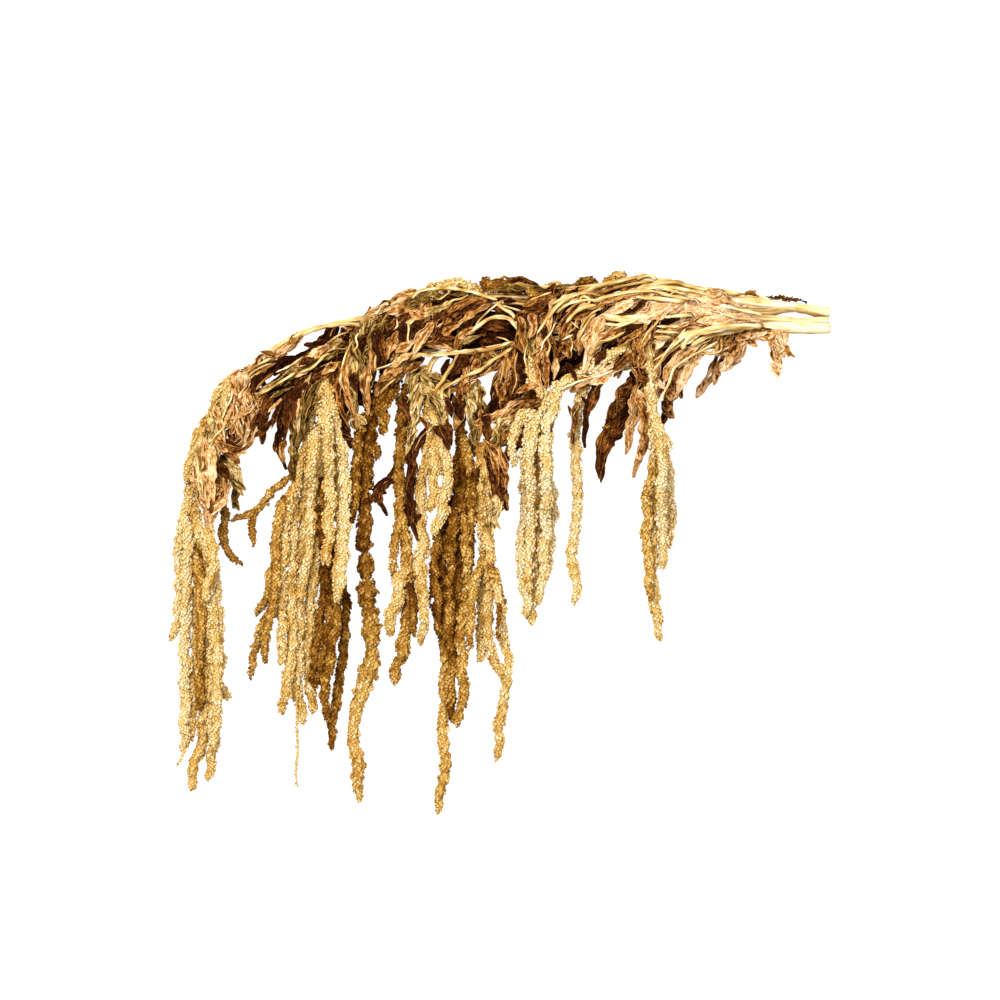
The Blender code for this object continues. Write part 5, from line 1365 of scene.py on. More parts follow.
def thin_sheet(middle, normal, thickness):
    """Close a sheet: one face on each side of the middle, and a rim round the edge."""
    rows, cols = middle.shape[:2]
    count = rows * cols
    verts = np.vstack([(middle + face * 0.5 * thickness * normal).reshape(-1, 3)
                       for face in (1, -1)])
    top = grid_triangles(rows, cols)
    edge = np.concatenate([np.arange(cols), np.arange(1, rows) * cols + cols - 1,
                           (rows - 1) * cols + np.arange(cols - 2, -1, -1),
                           np.arange(rows - 2, 0, -1) * cols])
    ahead = np.roll(edge, -1)
    rim = np.vstack([np.column_stack([edge, edge + count, ahead]),
                     np.column_stack([ahead, edge + count, ahead + count])])
    return verts, np.vstack([top[:, ::-1], top + count, rim[:, ::-1]])


# %% [markdown]
# ## Stalks, petioles and threads
#
# The stalks are pale, ribbed and fibrous, a little swollen where leaves grew, and cut
# square at the right, where they are palest and the pith shows inside a thin rind. Each
# leaf hangs from a pale petiole that runs from the stalk into the blade and is lost among
# its wrinkles.

# %% Stalk and its cut end
STALK_SIDES = 20
STALK_RIBS = 5
NODE_PITCH = 34
PITH_DEPTH = 0.7
PITH_SHARE = 0.70
RIND_DEPTH = 0.05
RIND_SHARE = 0.80
STRAND_SIDES = 7


def ribbed_stalk(stations, seed):
    """A tube with five soft ribs, swollen at its nodes, whose first ring is a hollowed cut.

    The radius is changed by 0.06 cos(5 a + twist) for the ribs at the angle a, by
    ripples, and by 0.16 exp(-s^2 / 9) for the node that is s mm away.
    """
    path, run, radius = smooth_path(stations, 3.2)
    path = wandering(path, run, 30, 0.35, seed)
    turn = 2 * np.pi * np.arange(STALK_SIDES)[None, :] / STALK_SIDES
    rib = np.cos(STALK_RIBS * turn + 0.8 * ripple_along(run, 60, seed)[:, None])
    bends = 0.06 * ripple(knot_places(run[:, None], turn, 3.0), 9, seed + 1)
    off = (run[:, None] + 7 * seed) % NODE_PITCH - NODE_PITCH / 2
    nodes = 0.16 * np.exp(-off ** 2 / 9)
    size = radius[:, None] * (1 + 0.06 * rib + bends + nodes)
    # Two rings inside the first one make the rind and the sunken pith
    along = directions(path)[0]
    inner = np.vstack([path[:1] + along[:1] * PITH_DEPTH, path[:1] + along[:1] * RIND_DEPTH])
    path = np.vstack([inner, path])
    size = np.vstack([size[:1] * PITH_SHARE, size[:1] * RIND_SHARE, size])
    verts, tris = tube(path, size, STALK_SIDES)
    # The stalks are paler towards the cut, and the sunken pith is darker
    bleached = 0.17 * rise(path[2:, :1], 60, 90)
    tone = 0.73 + bleached + 0.10 * ripple(knot_places(run[:, None], turn, 3.0), 14, seed + 2)
    tone = tone + 0.10 * rib - 1.2 * nodes
    tone = np.vstack([np.full((1, STALK_SIDES), 0.55), np.full((1, STALK_SIDES), 0.42), tone])
    around = np.broadcast_to(turn * 3.0, (len(path), STALK_SIDES))
    down = np.broadcast_to(np.concatenate([[0, 0], run])[:, None], (len(path), STALK_SIDES))
    surface = np.stack([down, around], -1).reshape(-1, 2)
    uv = np.vstack([surface, [[0, 0], [run[-1], 0]]]) / UV_UNIT
    return element("straw", verts, tris, np.concatenate([tone.ravel(), [0.75, 0.5]]), uv)


def strand(path, run, radius, tone, seed):
    """A thin uneven tube with pointed ends, for petioles and loose fibres.

    Its section is lumpy, as split and dried stems are, and painted shade makes its flanks
    and underside browner than its top.
    """
    turn = 2 * np.pi * np.arange(STRAND_SIDES)[None, :] / STRAND_SIDES
    end = np.minimum(1, (0.4 + np.minimum(run, run[-1] - run)) / 3)
    size = np.reshape(radius * end * (1 + 0.18 * ripple_along(run, 5, seed)), (-1, 1))
    lumps = ripple(knot_places(run[:, None] / 3, turn, 2.0), 2.6, seed)
    verts, tris = tube(path, np.maximum(size * (1 + 0.16 * lumps), 0.2), STRAND_SIDES)
    tone = (tone - 0.17 + 0.12 * ripple_along(run, 9, seed + 1))[:, None] + 0.12 * lumps
    # Painted light and shade: the top of a strand is paler, its flanks and underside browner.
    tone = tone + 0.12 * (np.sin(turn) - 0.3)
    uv = np.stack(np.broadcast_arrays(run[:, None], turn * 2.0), -1).reshape(-1, 2) / UV_UNIT
    uv = np.vstack([uv, uv[:1], uv[-1:]]) + seed * 0.37
    return element("straw", verts, tris, capped(tone), uv)


def petiole(shade, stations, number):
    """The stem of a leaf, from the stalk into the blade, where it sinks among the wrinkles."""
    path, run, _ = smooth_path(stations, 1.8)
    keep = run <= (0.22 + 0.30 * abs(math.sin(number * 1.7))) * run[-1]
    path, run = path[keep], run[keep]
    path = wandering(path, run, 7, 0.6, number)
    path[:, 2] += 0.9 - 0.8 * run / run[-1]
    radius = 0.70 * (1 - 0.5 * run / run[-1])
    tone = 0.40 + 0.35 * LEAF_TONE[shade] + 0.12 * math.sin(number * 2.9)
    return strand(path, run, radius, tone, number)


def thread_line(stations, seed):
    """Path, run and half width of a thin dry thread, swollen at its scars."""
    path, run, wide = smooth_path(stations, 1.2)
    path = wandering(path, run, 6, 0.5, seed)
    radius = wide * (0.75 + 0.35 * np.abs(ripple_along(run, 2.4, seed)))
    return path, run, np.maximum(radius * np.linspace(1, 0.7, len(run)), 0.5)


# %% [markdown]
# ## Strands over the pile
#
# Pale stems and fibres lie over the leaves at all angles, between strips of torn and rolled
# leaf, and give the bunch its tangled look. Their places in plan are known, but their
# heights are those of what they fell on. So the top of the pile is mapped first, as the
# highest point in each cell of a grid, and each is then laid on that map like a slack
# string.

# %% Routes of the strands: width and tone, then x,y in picture units of 0.75 mm
STRANDS = """
5 .78 471,332 479,325 487,319 498,316 509,318 515,323 519,331
5 .74 496,300 504,308 512,313 517,320 520,328
4 .72 412,298 420,290 441,288 453,288 468,290 487,296 498,299
2 .70 453,288 448,293 441,298 435,298
2 .74 469,294 462,298 453,300 447,305
5 .76 410,360 419,354 428,354 448,353 459,352 476,349
4 .55 476,349 490,349 502,345 512,341
4 .70 443,400 442,393 444,387 456,381 467,375 479,370 491,361 502,354 513,347
4 .62 459,353 453,363 447,372 443,380 438,387 434,396
2 .74 500,304 510,307 523,311
2 .84 476,325 479,320 487,312 494,306 503,299
2 .66 496,336 505,338 510,341
2 .66 444,322 437,327
5 .74 557,308 559,302 563,298 571,295 583,293 594,287 605,284 621,280 645,275
2 .84 561,312 564,304 566,299
2 .80 594,302 598,296
6 .86 603,315 617,318 636,318 652,316
4 .86 604,324 621,325 640,321
3 .70 537,334 543,325 548,317 554,308 560,303
2 .86 577,340 581,334 586,325 591,318 596,314
3 .70 590,356 594,348 598,343 609,340 625,332
2 .92 560,389 568,386 579,381 590,378 602,375 613,370
2 .86 562,340 574,334
2 .80 571,321 579,328
6 .84 635,279 645,275 653,275 657,280
6 .82 635,289 647,285 660,283 677,281 689,285 710,289 743,293
5 .82 635,297 660,300 686,302
3 .82 648,288 664,290 686,295
4 .92 663,318 685,316 692,317
3 .90 655,327 680,327
3 .88 655,332 679,333
5 .72 653,338 671,338
2 .90 652,373 662,358 672,344 685,329
6 .82 681,350 688,338 697,334 710,332 726,328 743,328 762,325
4 .86 718,306 734,309 762,315
3 .80 660,400 668,385 672,372 676,366 688,358 701,351 718,341
2 .45 701,352 706,354 718,348
2 .62 653,361 668,351 676,347
5 .74 300,334 312,329 323,325 338,323 354,323 361,326
3 .82 300,372 312,368 320,361 325,356 331,353
2 .72 342,368 345,358 348,350 353,340
3 .66 353,361 354,368 356,372 358,368 357,360
2 .84 376,369 388,365 393,362
2 .82 407,319 409,328 408,339 410,344
2 .78 397,318 398,325 394,329
2 .66 380,394 386,386 396,378
2 .70 361,330 356,337 358,345 353,352
2 .72 330,340 340,334 349,331
2 .66 530,300 541,296 552,292
2 .78 566,306 573,301 583,299
2 .80 541,352 544,342 551,333 556,322
2 .76 571,352 573,343 569,334
2 .72 547,356 550,346 546,336
3 .74 612,330 622,326 633,322 641,316
2 .86 668,296 680,290 700,293
2 .82 716,312 733,318 750,320
2 .72 692,322 700,316 712,314
2 .70 640,345 646,335 655,325 660,316
2 .64 505,360 503,372 500,384
2 .60 518,352 515,366 517,380 512,394
2 .66 527,345 525,358 529,370
2 .70 246,380 252,372 262,366 272,362
2 .74 222,420 226,408 231,398 232,388
2 .70 212,446 216,436 224,428 226,420
2 .66 232,425 238,414 236,404
2 .74 276,372 290,366 303,357
3 .64 562,306 570,298 580,294 592,293 602,296
4 .74 547,320 555,309 564,301 574,295 587,291
3 .72 551,305 562,299 573,295
4 .70 566,323 575,313 585,307 597,305
3 .74 556,313 566,305 579,301 590,299
3 .70 580,330 586,320 594,312 604,308
3 .60 566,312 576,304 588,300 600,301 610,297
3 .72 578,300 584,296 590,300 586,306 580,304
3 .68 600,292 614,288 630,284 646,281 655,281
4 .72 596,300 612,296 630,293 650,292 668,296 690,300
4 .72 640,290 660,288 680,290 700,294 716,298
7 .80 602,316 614,319 628,322 645,322
6 .82 676,338 696,332 716,328 740,326 762,326
5 .80 690,346 704,338 722,333 744,330
3 .66 700,350 712,354 722,350
4 .70 656,360 668,350 680,340 694,330
3 .62 652,372 662,360 672,350 682,344
3 .60 246,372 258,364 272,357
3 .50 250,378 262,370 276,362
3 .45 256,390 264,380 274,372
3 .70 296,372 284,380 270,388 258,394
"""

# %% Routes of the strips: width and shade, then x,y in the same units
STRIPS = """
5 r 466,343 472,334 481,328
5 t 456,336 463,327 473,319 486,312
7 t 545,350 546,364 548,378
6 p 556,350 556,364 554,380
5 t 536,362 538,376 542,390
7 t 372,342 373,356 374,372
6 t 404,372 414,366 424,360
5 t 560,330 566,318 575,308
4 t 262,392 274,384 288,377 300,372
3 o 270,398 282,391 296,386
3 t 258,378 268,372 280,366
3 p 268,412 276,404 284,396
4 o 312,372 304,392 300,414 298,436
3 p 306,380 300,398 297,420
12 b 474,332 486,326 500,324 512,332
6 b 488,305 496,307 504,312
6 b 390,323 399,318 408,312
5 b 654,325 664,323 676,321
5 b 506,281 522,279 538,283
6 g 495,289 512,286 530,287 546,289
5 b 540,300 550,296 560,294
10 k 478,341 492,337 506,334 514,338
9 k 412,322 420,326 427,331
6 k 436,336 446,329 456,324
5 k 396,320 399,331
4 k 502,301 510,300 519,301
6 k 432,320 444,313 456,304 470,298
11 k 468,355 461,364 454,374
6 k 450,358 445,366 442,374
5 k 543,362 539,369
5 k 584,319 580,330 573,341
4 k 546,326 545,338 548,350
8 k 625,330 634,328 643,325
5 k 645,301 637,308 630,313
7 k 606,350 600,358 594,366
5 k 566,362 572,371 577,381
5 k 652,348 662,346 673,342
5 k 688,347 700,343 714,338
4 k 676,356 669,368 661,382
6 k 290,355 278,361 269,369 262,382
9 k 263,372 256,383 252,395
7 t 318,362 304,370 290,378
6 b 312,382 296,390 280,400
6 k 274,398 266,408 262,420 263,434
5 b 282,402 276,414 272,428
8 k 303,386 296,396 294,410 290,424
7 k 354,372 355,384 358,393
9 k 378,327 377,342 378,357
5 k 316,386 309,399 305,412
5 b 440,318 452,309 466,302 478,299
8 b 480,342 492,342 505,343
7 b 549,300 537,306 526,309
6 b 536,311 535,322 537,333
6 b 520,346 520,360 518,372
5 b 552,338 555,348 558,359
5 b 604,290 614,289 623,287
9 b 631,354 622,362 613,370
5 b 384,336 383,350 386,364
7 b 287,394 288,408 287,424 284,440
8 g 450,292 460,291 468,294
6 g 328,352 309,364 291,374 273,386 257,396
4 g 478,337 468,342 460,346
3 g 545,289 560,286 577,283
6 g 320,380 311,394 306,410 303,426
7 g 404,303 416,300 430,297
6 r 452,316 466,308 480,302 496,299 512,297
5 r 448,312 462,303 476,299 490,297
4 r 434,342 446,338 457,337
7 r 471,322 464,332 458,341 457,351
9 r 520,316 522,328 520,340 524,353
8 r 546,296 534,300 523,306
9 r 513,346 510,358 506,373
6 r 506,352 494,358 484,366
10 r 573,318 566,328 562,341
9 r 653,320 647,332 641,344 637,353
6 r 641,332 629,338 618,345
6 r 337,360 338,378 339,396 343,412 350,428
5 t 458,324 468,316 480,309 493,302
10 t 434,322 425,332 418,344 413,357
6 t 442,334 450,329 461,324
9 t 409,309 417,313 426,317
7 t 530,313 534,326 529,339
5 k 402,324 404,338 406,352
4 t 561,313 566,304 574,300 583,302
5 t 596,308 606,302 618,298 631,293
7 t 557,299 552,310 549,320 550,333
8 t 622,328 612,334 602,338 593,343
8 t 330,345 318,352 308,360 296,366
7 t 349,350 345,368 346,388 351,406 359,424
9 t 371,361 366,378 366,394 369,413
9 t 398,330 392,344 387,359
9 t 403,367 390,373 378,382
6 t 284,438 281,450 283,463
7 t 738,344 732,354 726,365
4 t 722,346 714,364 706,380 701,393
7 o 428,312 440,308 453,301
8 g 352,331 354,345 358,360 356,375
9 o 369,315 364,328 366,343
6 o 500,357 488,352 480,358
13 p 593,314 588,328 582,342 580,355
11 p 664,306 652,310 642,314 632,319
9 p 633,302 620,308 607,314
14 p 687,296 704,299 722,303 742,308
14 p 684,308 704,312 722,316 744,318 762,320
14 p 636,322 652,314 668,306 684,300
12 p 586,350 592,336 600,322 609,311
6 t 322,374 330,368 341,361
7 b 300,366 307,361 316,357
7 t 396,352 406,346 417,340
6 p 392,366 402,358 414,352
7 t 458,337 467,331 479,326
5 o 461,343 470,338 481,335
11 r 214,437 225,443 239,447
8 b 221,447 231,453 240,463
8 b 402,397 406,408 410,421
9 k 455,397 459,408 463,421
7 b 446,395 450,406 452,417
8 b 207,485 211,499 212,514
8 k 484,412 488,427 487,444
6 b 446,419 450,431 452,445
7 r 636,397 642,408 647,423
7 k 401,321 408,330 416,339
6 b 482,345 488,354 490,363
7 b 221,462 226,471 229,481
11 t 203,436 205,460 207,486 210,511
8 p 212,442 213,462 213,484 215,502
7 o 197,444 199,462 201,482 204,500
6 t 214,404 219,416 222,430 226,444
6 t 516,392 527,387 540,384
7 p 668,330 662,340 655,350
5 t 416,414 424,420 428,430
10 p 696,322 716,320 738,318 760,321
9 p 666,352 680,342 695,334 712,328
9 p 664,382 671,366 682,353 694,345
7 t 678,368 687,354 698,344 714,336
6 t 652,336 664,331 678,327 692,322
6 r 636,350 645,338 652,326
9 p 702,352 691,364 683,380 676,397
4 p 576,310 584,306 592,308 601,306
"""
PICTURE_MIDDLE = 500
PICTURE_SHIFT = [-0.4, 33.4]


def from_picture(places):
    """Places in plan, in mm, of places in the picture."""
    return (places - PICTURE_MIDDLE) * [PLAN_UNIT, -PLAN_UNIT] + PICTURE_SHIFT


def read_strands(text):
    """The two words that each route starts with, and its places in plan in mm."""
    rows = []
    for line in text.strip().splitlines():
        words = line.split()
        plan = np.array([word.split(",") for word in words[2:]], float)
        rows.append((words[0], words[1], from_picture(plan)))
    return rows


# %% Top and bottom of the pile
CELL = 1.2
WIDE_CELL = 2.4
MAP_CORNER = np.array([-270.0, -230.0])
MAP_SIZE = (450, 400)
MOST_CLIMB = 6
SAG = 0.05
STEEPEST = 0.7
STRIP_RADIUS = 1.4


def map_cells(points, cell):
    """Rows and columns of the cells of a map that points lie in."""
    return tuple(((points[:, :2] - MAP_CORNER) / cell).astype(int).T)


def pile_map(parts, pick, cell, start):
    """Highest or lowest point of the elements in each cell, from corners and middles of faces.

    Pick is np.maximum or np.minimum, and start is the value of an empty cell.
    """
    heights = np.full([int(cells * CELL / cell) for cells in MAP_SIZE], float(start))
    for part in parts:
        middles = part["verts"][part["tris"]].mean(axis=1)
        points = np.vstack([part["verts"], middles])
        pick.at(heights, map_cells(points, cell), points[:, 2])
    return heights


def lay_strand(plan, radius, top):
    """Lay a route on the map like a slack string: it bridges hollows and dips at its ends.

    It nowhere falls by more than 0.7 of its run, so it never hangs straight down.
    """
    flat = np.column_stack([plan, np.zeros(len(plan)), np.full(len(plan), radius)])
    path, run, _ = smooth_path(flat, 1.8)
    row, column = map_cells(path, CELL)
    beside = (-1, 0, 1)
    ground = np.max([top[row + i, column + k] for i in beside for k in beside], axis=0)
    ground = np.minimum(ground, np.median(ground) + MOST_CLIMB) + 0.4 * radius
    high = ground.copy()
    for _ in range(14):
        high[1:-1] = np.maximum(ground[1:-1], (high[:-2] + high[2:]) / 2 - SAG)
    high = np.max(high - STEEPEST * np.abs(run[:, None] - run), axis=1)
    high = smoothed(high, 3)
    ends = np.exp(-(np.minimum(run, run[-1] - run) / 2.5) ** 2)
    path[:, 2] = np.maximum(high - 1.2 * radius * ends, radius + 0.2)
    return path, run


def crumpled_strip(plan, half, shade, seed, top):
    """A narrow crumpled leaf with a ragged edge, pointed at both ends, laid along a route."""
    path, run = lay_strand(plan, STRIP_RADIUS, top)
    t = run / run[-1]
    swell = 0.14 + 0.98 * np.maximum(np.sin(np.pi * t ** 0.75), 0) ** 0.8
    profile = half * swell * (1 + 0.25 * np.clip(ripple_along(run, 7, seed + 7), -1, 1))
    curl = np.clip(0.9 * ripple_along(run, 12, seed + 40)[:, None] + 0.3, -1.0, 1.5)
    relief = LEAF_RELIEF.get(shade, 1.0)
    depth = relief * np.minimum(1.5, 0.36 * profile)
    cols = max(5, int(np.ceil(2 * half / 0.95)) | 1)
    curl, pleats = relief * curl, max(2.0, half / 1.3)
    sheet, proud, grid = pleated_sheet(path, run, profile, curl, pleats, depth, cols, seed)
    tone = LEAF_TONE[shade] + 0.05 * math.sin(2.7 * seed)
    tone = tone + relief * (painted_fold_shade(proud) + 0.08 * ripple(grid / [3, 1], 6, seed + 97))
    return sheet_element(shade, sheet, tone, grid)


# %% Dark scraps at the bottom of the leaves, as painted shade
BED_OUTLINE = """
232,398 258,372 300,350 345,334 385,314 425,302 470,298 530,300 600,296 668,298 700,306
690,322 660,340 622,350 590,360 560,376 520,396 470,398 430,404 392,404 350,410 300,408 250,420
"""
# Each hole is an ellipse: its middle, then half its width and height
BED_HOLES = """
326,333,10,8 300,345,15,12 437,365,13,13 420,365,9,13 446,348,6,4 268,379,7,9 275,371,8,9
409,396,6,10 489,374,11,12 482,390,6,6 589,389,8,7 635,391,9,15 655,366,5,7 257,452,30,42
280,425,8,22 359,412,6,11 388,435,16,40 449,417,5,7 451,402,4,5 288,441,5,8 416,440,6,9 598,352,5,6
626,358,6,6 632,347,7,5 718,395,60,38
"""
BED_SCRAPS = 165
BED_SEED = 77
FIRST_SCRAP_SEED = 9000
PALER_FROM = 640


def inside(points, outline):
    """Whether points are inside an outline.

    A ray to the left from a point inside crosses the outline an odd number of times.
    """
    a, b = outline, np.roll(outline, -1, axis=0)
    y = points[:, 1, None]
    spans = (a[:, 1] > y) != (b[:, 1] > y)
    slope = (b[:, 0] - a[:, 0]) / np.where(b[:, 1] == a[:, 1], 1e-9, b[:, 1] - a[:, 1])
    return (spans & (points[:, 0, None] > a[:, 0] + slope * (y - a[:, 1]))).sum(axis=1) % 2 == 1


def dark_scraps_as_shade(count):
    """Dark crumpled scraps as painted shade under the leaves, but not in the bunch's open gaps."""
    dice = np.random.default_rng(BED_SEED)
    outline = np.array([word.split(",") for word in BED_OUTLINE.split()], float)
    places = dice.uniform(outline.min(axis=0), outline.max(axis=0), (9 * count, 2))
    places = places[inside(places, outline)]
    heading = dice.normal(-0.6, 0.9, len(places))
    length = dice.uniform(12, 22, len(places))
    # Both ends and the middle of a scrap are kept out of the gaps
    way = np.column_stack([np.cos(heading), -np.sin(heading)])
    reach = way * (0.45 * length / PLAN_UNIT)[:, None]
    spots = np.stack([places - reach, places, places + reach])
    clear = np.ones(len(places), bool)
    for hole in BED_HOLES.split():
        x, y, wide, high = np.array(hole.split(","), float)
        off = ((spots[..., 0] - x) / wide) ** 2 + ((spots[..., 1] - y) / high) ** 2
        clear &= (off > 1).all(axis=0)
    made = []
    for turn in np.flatnonzero(clear)[:count]:
        centre = np.array([*from_picture(places[turn]), dice.uniform(2, 9)])
        half = dice.uniform(2.6, 4.6)
        tone = dice.normal(0.10, 0.06) + 0.35 * (places[turn, 0] > PALER_FROM)
        made.append(scrap("k", centre, heading[turn], length[turn], half, tone,
                          FIRST_SCRAP_SEED + turn))
    return made


# The bed is dark leaf scraps that stand in for shade deep in the bunch.
bed = dark_scraps_as_shade(BED_SCRAPS)
print("scraps in the bed:", len(bed))

# %% Read the strands and the strips
strands = read_strands(STRANDS)
strips = read_strands(STRIPS)
print("strands:", len(strands), "strips:", len(strips))

# %% [markdown]
# ## Finishes
#
# Four finishes cover the bunch: straw for the stalks and strands, two for leaves, and one
# for florets. Each has a colour ramp that the tone runs along, so a dark leaf and a pale
# one are the same stuff. Fine noise moves the tone on the surface and also drives the bump.
# The noise reads Object coordinates, or the UV where the fibres run along a piece.

# %% A finish with a colour ramp
BUMP_STRENGTH = 0.8
ROUGHNESS = 0.8
SHEEN = 0.02
CRACK_SHARPNESS = 36.0


def dry_finish(name, ramp, grain, grain_amount, mottle, mottle_amount, bump,
               stretch=None, cracks=None):
    """A matt dry finish: tone plus two noises, through a colour ramp.

    Grain is the fine noise and mottle the patchy one, both in waves per metre.
    With a stretch the grain reads the UV, scaled by it. Cracks are dark lines where
    another stretched noise crosses its middle value; they come as a stretch and an amount.
    """
    finish = bpy.data.materials.new(name)
    finish.use_nodes = True
    nodes = finish.node_tree.nodes
    link = finish.node_tree.links.new
    shader = nodes["Principled BSDF"]
    place = nodes.new("ShaderNodeTexCoord")
    tone = nodes.new("ShaderNodeAttribute")
    tone.attribute_name = "tone"

    def noise(scale, detail, stretch):
        made = nodes.new("ShaderNodeTexNoise")
        made.inputs["Scale"].default_value = scale
        made.inputs["Detail"].default_value = detail
        if stretch:
            turn = nodes.new("ShaderNodeMapping")
            turn.inputs["Scale"].default_value = stretch
            link(place.outputs["UV"], turn.inputs["Vector"])
            link(turn.outputs["Vector"], made.inputs["Vector"])
        else:
            link(place.outputs["Object"], made.inputs["Vector"])
        return made.outputs["Fac"]

    def maths(operation, *values):
        made = nodes.new("ShaderNodeMath")
        made.operation = operation
        for socket, value in zip(made.inputs, values):
            if isinstance(value, float):
                socket.default_value = value
            else:
                link(value, socket)
        return made.outputs["Value"]

    fine = noise(grain, 4, stretch)
    total = tone.outputs["Fac"]
    for part, amount in ((fine, grain_amount), (noise(mottle, 3, None), mottle_amount)):
        total = maths("MULTIPLY_ADD", maths("SUBTRACT", part, 0.5), amount, total)
    if cracks:
        gap = maths("ABSOLUTE", maths("SUBTRACT", noise(1.0, 2, cracks[0]), 0.5))
        line = maths("MAXIMUM", maths("MULTIPLY_ADD", gap, -CRACK_SHARPNESS, 1.0), 0.0)
        total = maths("MULTIPLY_ADD", line, -cracks[1], total)
    colours = nodes.new("ShaderNodeValToRGB")
    stops = colours.color_ramp.elements
    while len(stops) < len(ramp):
        stops.new(0.5)
    for stop, (place_on_ramp, colour) in zip(stops, ramp):
        stop.position = place_on_ramp
        stop.color = (*colour, 1)
    link(total, colours.inputs["Fac"])
    link(colours.outputs["Color"], shader.inputs["Base Color"])
    relief = nodes.new("ShaderNodeBump")
    relief.inputs["Strength"].default_value = BUMP_STRENGTH
    relief.inputs["Distance"].default_value = bump
    link(fine, relief.inputs["Height"])
    link(relief.outputs["Normal"], shader.inputs["Normal"])
    shader.inputs["Roughness"].default_value = ROUGHNESS
    shader.inputs["Specular IOR Level"].default_value = SHEEN
    return finish


# %% The four finishes
LEAF_SURFACE = {"grain": 1.0, "grain_amount": 1.0, "mottle": 70.0, "mottle_amount": 0.5,
                "bump": 0.0007, "stretch": (34, 70, 1), "cracks": ((10, 24, 1), 0.38)}
finishes = {
    "straw": dry_finish("dry straw", [
        (0.0, (0.10, 0.030, 0.005)), (0.3, (0.29, 0.130, 0.024)), (0.55, (0.54, 0.330, 0.098)),
        (0.8, (0.71, 0.528, 0.255)), (1.0, (0.79, 0.685, 0.48))],
        grain=1.0, grain_amount=1.6, mottle=60.0, mottle_amount=0.4, bump=0.0005,
        stretch=(4, 45, 1), cracks=((2, 38, 1), 0.20)),
    "leaf": dry_finish("crumpled leaf", [
        (0.0, (0.014, 0.003, 0.001)), (0.2, (0.064, 0.018, 0.003)), (0.42, (0.195, 0.066, 0.010)),
        (0.62, (0.385, 0.178, 0.042)), (0.82, (0.58, 0.355, 0.162)), (1.0, (0.69, 0.51, 0.32))],
        **LEAF_SURFACE),
    "olive leaf": dry_finish("crumpled olive leaf", [
        (0.0, (0.012, 0.004, 0.001)), (0.3, (0.098, 0.046, 0.007)), (0.6, (0.320, 0.186, 0.045)),
        (0.8, (0.52, 0.360, 0.142)), (1.0, (0.67, 0.53, 0.31))],
        **LEAF_SURFACE),
    "floret": dry_finish("dry floret", [
        (0.0, (0.028, 0.007, 0.001)), (0.25, (0.128, 0.044, 0.004)), (0.45, (0.295, 0.136, 0.019)),
        (0.65, (0.51, 0.303, 0.076)), (0.85, (0.605, 0.438, 0.186)), (1.0, (0.67, 0.54, 0.33))],
        grain=1300.0, grain_amount=0.25, mottle=60.0, mottle_amount=0.2, bump=0.0003),
}
print("finishes:", sorted(finishes))

# %% [markdown]
# ## Dress every node
#
# The numbering of the elements runs on from node to node, because the frame's leaf folds
# depend on it. The scraps of the bed, the strips and the strands are given to the leafy
# stalks in turn.

# %% Make the leaves, stalks and cores of every node
number = 0
dressing = {}
spikes = []
for node, rows in plants.items():
    parts = []
    for kind, shade, stations in rows:
        number += 1
        if kind == "t":
            parts.append(ribbed_stalk(stations, number))
        elif kind in "sw":
            path, run, radius = (spike_line if kind == "s" else thread_line)(stations, number)
            parts.append(spike_core(path, run, radius, shade, number))
            spikes.append((node, path, run, radius, shade, number))
        else:
            sheet, middle = crumpled_leaf(shade, stations, number)
            parts.append(sheet)
            parts += leaf_strips(shade, middle, number) + leaf_scraps(shade, middle, number)
            parts.append(petiole(shade, stations, number))
    dressing[node] = parts
print("elements:", number, "spikes:", len(spikes))

# %% Cover the spikes with florets, except deep in the bunch
DEEP = 3.2
OFF_THE_UNDERSIDE = 2
EMPTY_UNDERSIDE = 99


def all_parts():
    """Every element made so far, of all nodes."""
    return [part for parts in dressing.values() for part in parts]


over_map = pile_map(all_parts(), np.maximum, WIDE_CELL, 0)
under_map = pile_map(all_parts(), np.minimum, WIDE_CELL, EMPTY_UNDERSIDE)


def hidden(places):
    """Whether places lie well below the top of the pile and well above its underside."""
    at = map_cells(places, WIDE_CELL)
    return ((over_map[at] - places[:, 2] > DEEP)
            & (places[:, 2] - under_map[at] > OFF_THE_UNDERSIDE))


for node, path, run, radius, shade, seed in spikes:
    florets = spike_florets(path, run, radius, shade, seed, hidden)
    # Two tassels are browner in the shade of the leaves over them
    shady = SHADY_TONE.get(node, 0) * rise(florets["verts"][:, 1], 20, 45)
    florets["tone"] = np.clip(florets["tone"] + NODE_TONE.get(node, 0) - shady, 0, 1)
    dressing[node].append(florets)

# %% Lay the bed, the strips and the strands
FIRST_STRIP_SEED = 700
stalks = [node for node in dressing if node.startswith("stalk")]


def give(turn, part):
    """Add a loose element to one of the leafy stalks, to each in turn."""
    dressing[stalks[turn % len(stalks)]].append(part)


for turn, part in enumerate(bed):
    give(turn, part)
top = pile_map(all_parts(), np.maximum, CELL, 0)
for turn, (wide, shade, plan) in enumerate(strips):
    half = float(wide) * 0.5 * PLAN_UNIT
    part = crumpled_strip(plan, half, shade, FIRST_STRIP_SEED + turn, top)
    top = np.maximum(top, pile_map([part], np.maximum, CELL, 0))
    give(turn, part)
for turn, (wide, tone, plan) in enumerate(strands):
    radius = float(wide) * 0.30 + 0.1
    path, run = lay_strand(plan, radius, top)
    give(turn, strand(path, run, radius, float(tone), turn))
print("highest point of the pile:", round(top.max(), 1), "mm")

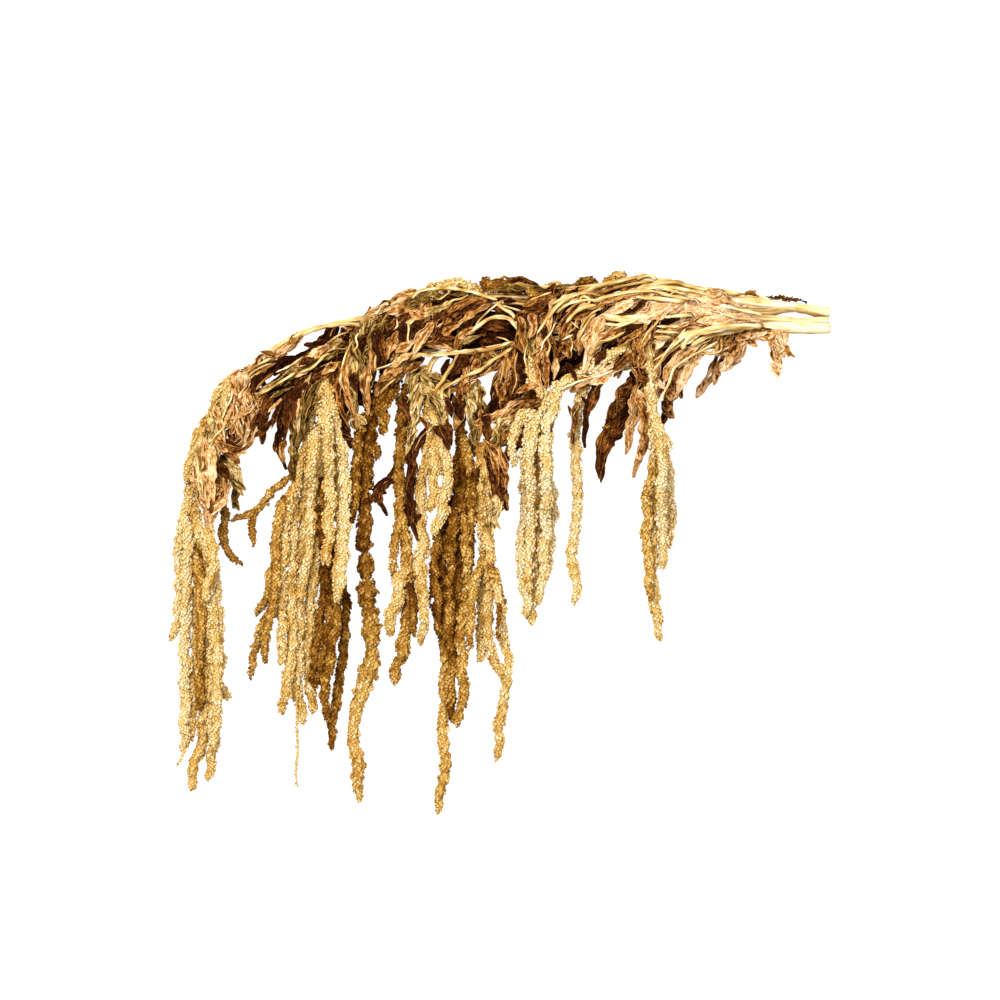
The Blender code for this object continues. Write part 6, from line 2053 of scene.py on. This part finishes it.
# %% Darken what lies deep in the pile with painted shade
# What lies deep is darkened as painted shade. Depth is counted from the top of the pile
# averaged over some 12 mm, so that a spike that lies alone has none.
# The leaves over the stalks near the cut, and on the outermost tassel, lay in the light
# and are paler, but not in their grooves.
PAINTED_DEPTH_SHADE = {"leaf": 0.28, "olive leaf": 0.28, "straw": 0.22, "floret": 0.09}
SUNNY_TONE = {"leaf": 0.13, "olive leaf": 0.13, "straw": 0.02, "floret": 0.0}
level = soften(pile_map(all_parts(), np.maximum, WIDE_CELL, 0), 20)
for part in all_parts():
    x, y, z = part["verts"].T
    depth = level[map_cells(part["verts"], WIDE_CELL)] - z
    deep_shade = PAINTED_DEPTH_SHADE[part["finish"]] * rise(depth, 0.5, 9)
    near_the_cut = rise(x, 40, 70) * rise(y, 105, 25)
    sunny = near_the_cut + 0.5 * rise(-x, 180, 15)
    sunny = sunny * np.clip(part["tone"] / 0.35 - 0.4, 0, 1)
    part["tone"] = np.clip(part["tone"] - deep_shade + SUNNY_TONE[part["finish"]] * sunny, 0, 1)

# %% Join them into one piece for each node
total = 0
for node, parts in dressing.items():
    kind_name = "leafy" if node.startswith("stalk") else "flowering"
    piece = dress(f"{kind_name}_{node}", parts, finishes)
    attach(piece, "root")
    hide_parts(node)
    total += len(piece.data.polygons)
    print(piece.name, len(piece.data.polygons), "triangles")
print("all pieces:", total, "triangles")

# %% [markdown]
# ## Floor, light and camera
#
# The photograph is taken against plain white with soft light from the upper left. The
# bunch lies flat, so the camera looks straight down on it. A long lens far away keeps the
# top of the pile and its base in line.

# %% Floor
HALF_FLOOR = 6.0
corners = [(x * HALF_FLOOR, y * HALF_FLOOR, 0) for x, y in ((-1, -1), (1, -1), (1, 1), (-1, 1))]
floor_mesh = bpy.data.meshes.new("floor")
floor_mesh.from_pydata(corners, [], [(0, 1, 2, 3)])
floor = bpy.data.objects.new("floor", floor_mesh)
bpy.context.scene.collection.objects.link(floor)
paper = bpy.data.materials.new("white paper")
paper.use_nodes = True
settings = {"Base Color": (0.2, 0.2, 0.2, 1), "Roughness": 0.9,
            "Emission Color": (1, 1, 1, 1), "Emission Strength": 0.92}
for setting, value in settings.items():
    paper.node_tree.nodes["Principled BSDF"].inputs[setting].default_value = value
floor_mesh.materials.append(paper)

# %% Light
def soft_light(name, place, power, size):
    """A square lamp that looks at the middle of the bunch."""
    lamp = bpy.data.lights.new(name, "AREA")
    lamp.energy = power
    lamp.size = size
    thing = bpy.data.objects.new(name, lamp)
    thing.location = place
    aim = np.array(place) / np.linalg.norm(place)
    thing.rotation_euler = (math.acos(aim[2]), 0, math.atan2(aim[0], -aim[1]))
    bpy.context.scene.collection.objects.link(thing)


soft_light("window", (-0.5, 0.8, 2.1), power=77, size=0.9)
soft_light("fill", (0.9, -0.6, 2.2), power=20, size=1.6)

sky = bpy.data.worlds.new("studio")
sky.use_nodes = True
backdrop = sky.node_tree.nodes["Background"]
backdrop.inputs["Color"].default_value = (1, 1, 1, 1)
backdrop.inputs["Strength"].default_value = 0.75
bpy.context.scene.world = sky
bpy.context.scene.view_settings.view_transform = "Standard"

# %% Camera
CAMERA_HEIGHT = 5.0
VIEW_WIDTH = 0.75
VIEW_LEVEL = 0.03
VIEW_CENTRE = (-0.0001, 0.0338)
SENSOR = 36
eye = bpy.data.cameras.new("camera")
eye.sensor_width = SENSOR
# The view is VIEW_WIDTH wide at the level of the spikes
eye.lens = SENSOR * (CAMERA_HEIGHT - VIEW_LEVEL) / VIEW_WIDTH
eye.clip_end = 50
camera = bpy.data.objects.new("camera", eye)
camera.location = (*VIEW_CENTRE, CAMERA_HEIGHT)
bpy.context.scene.collection.objects.link(camera)
bpy.context.scene.camera = camera
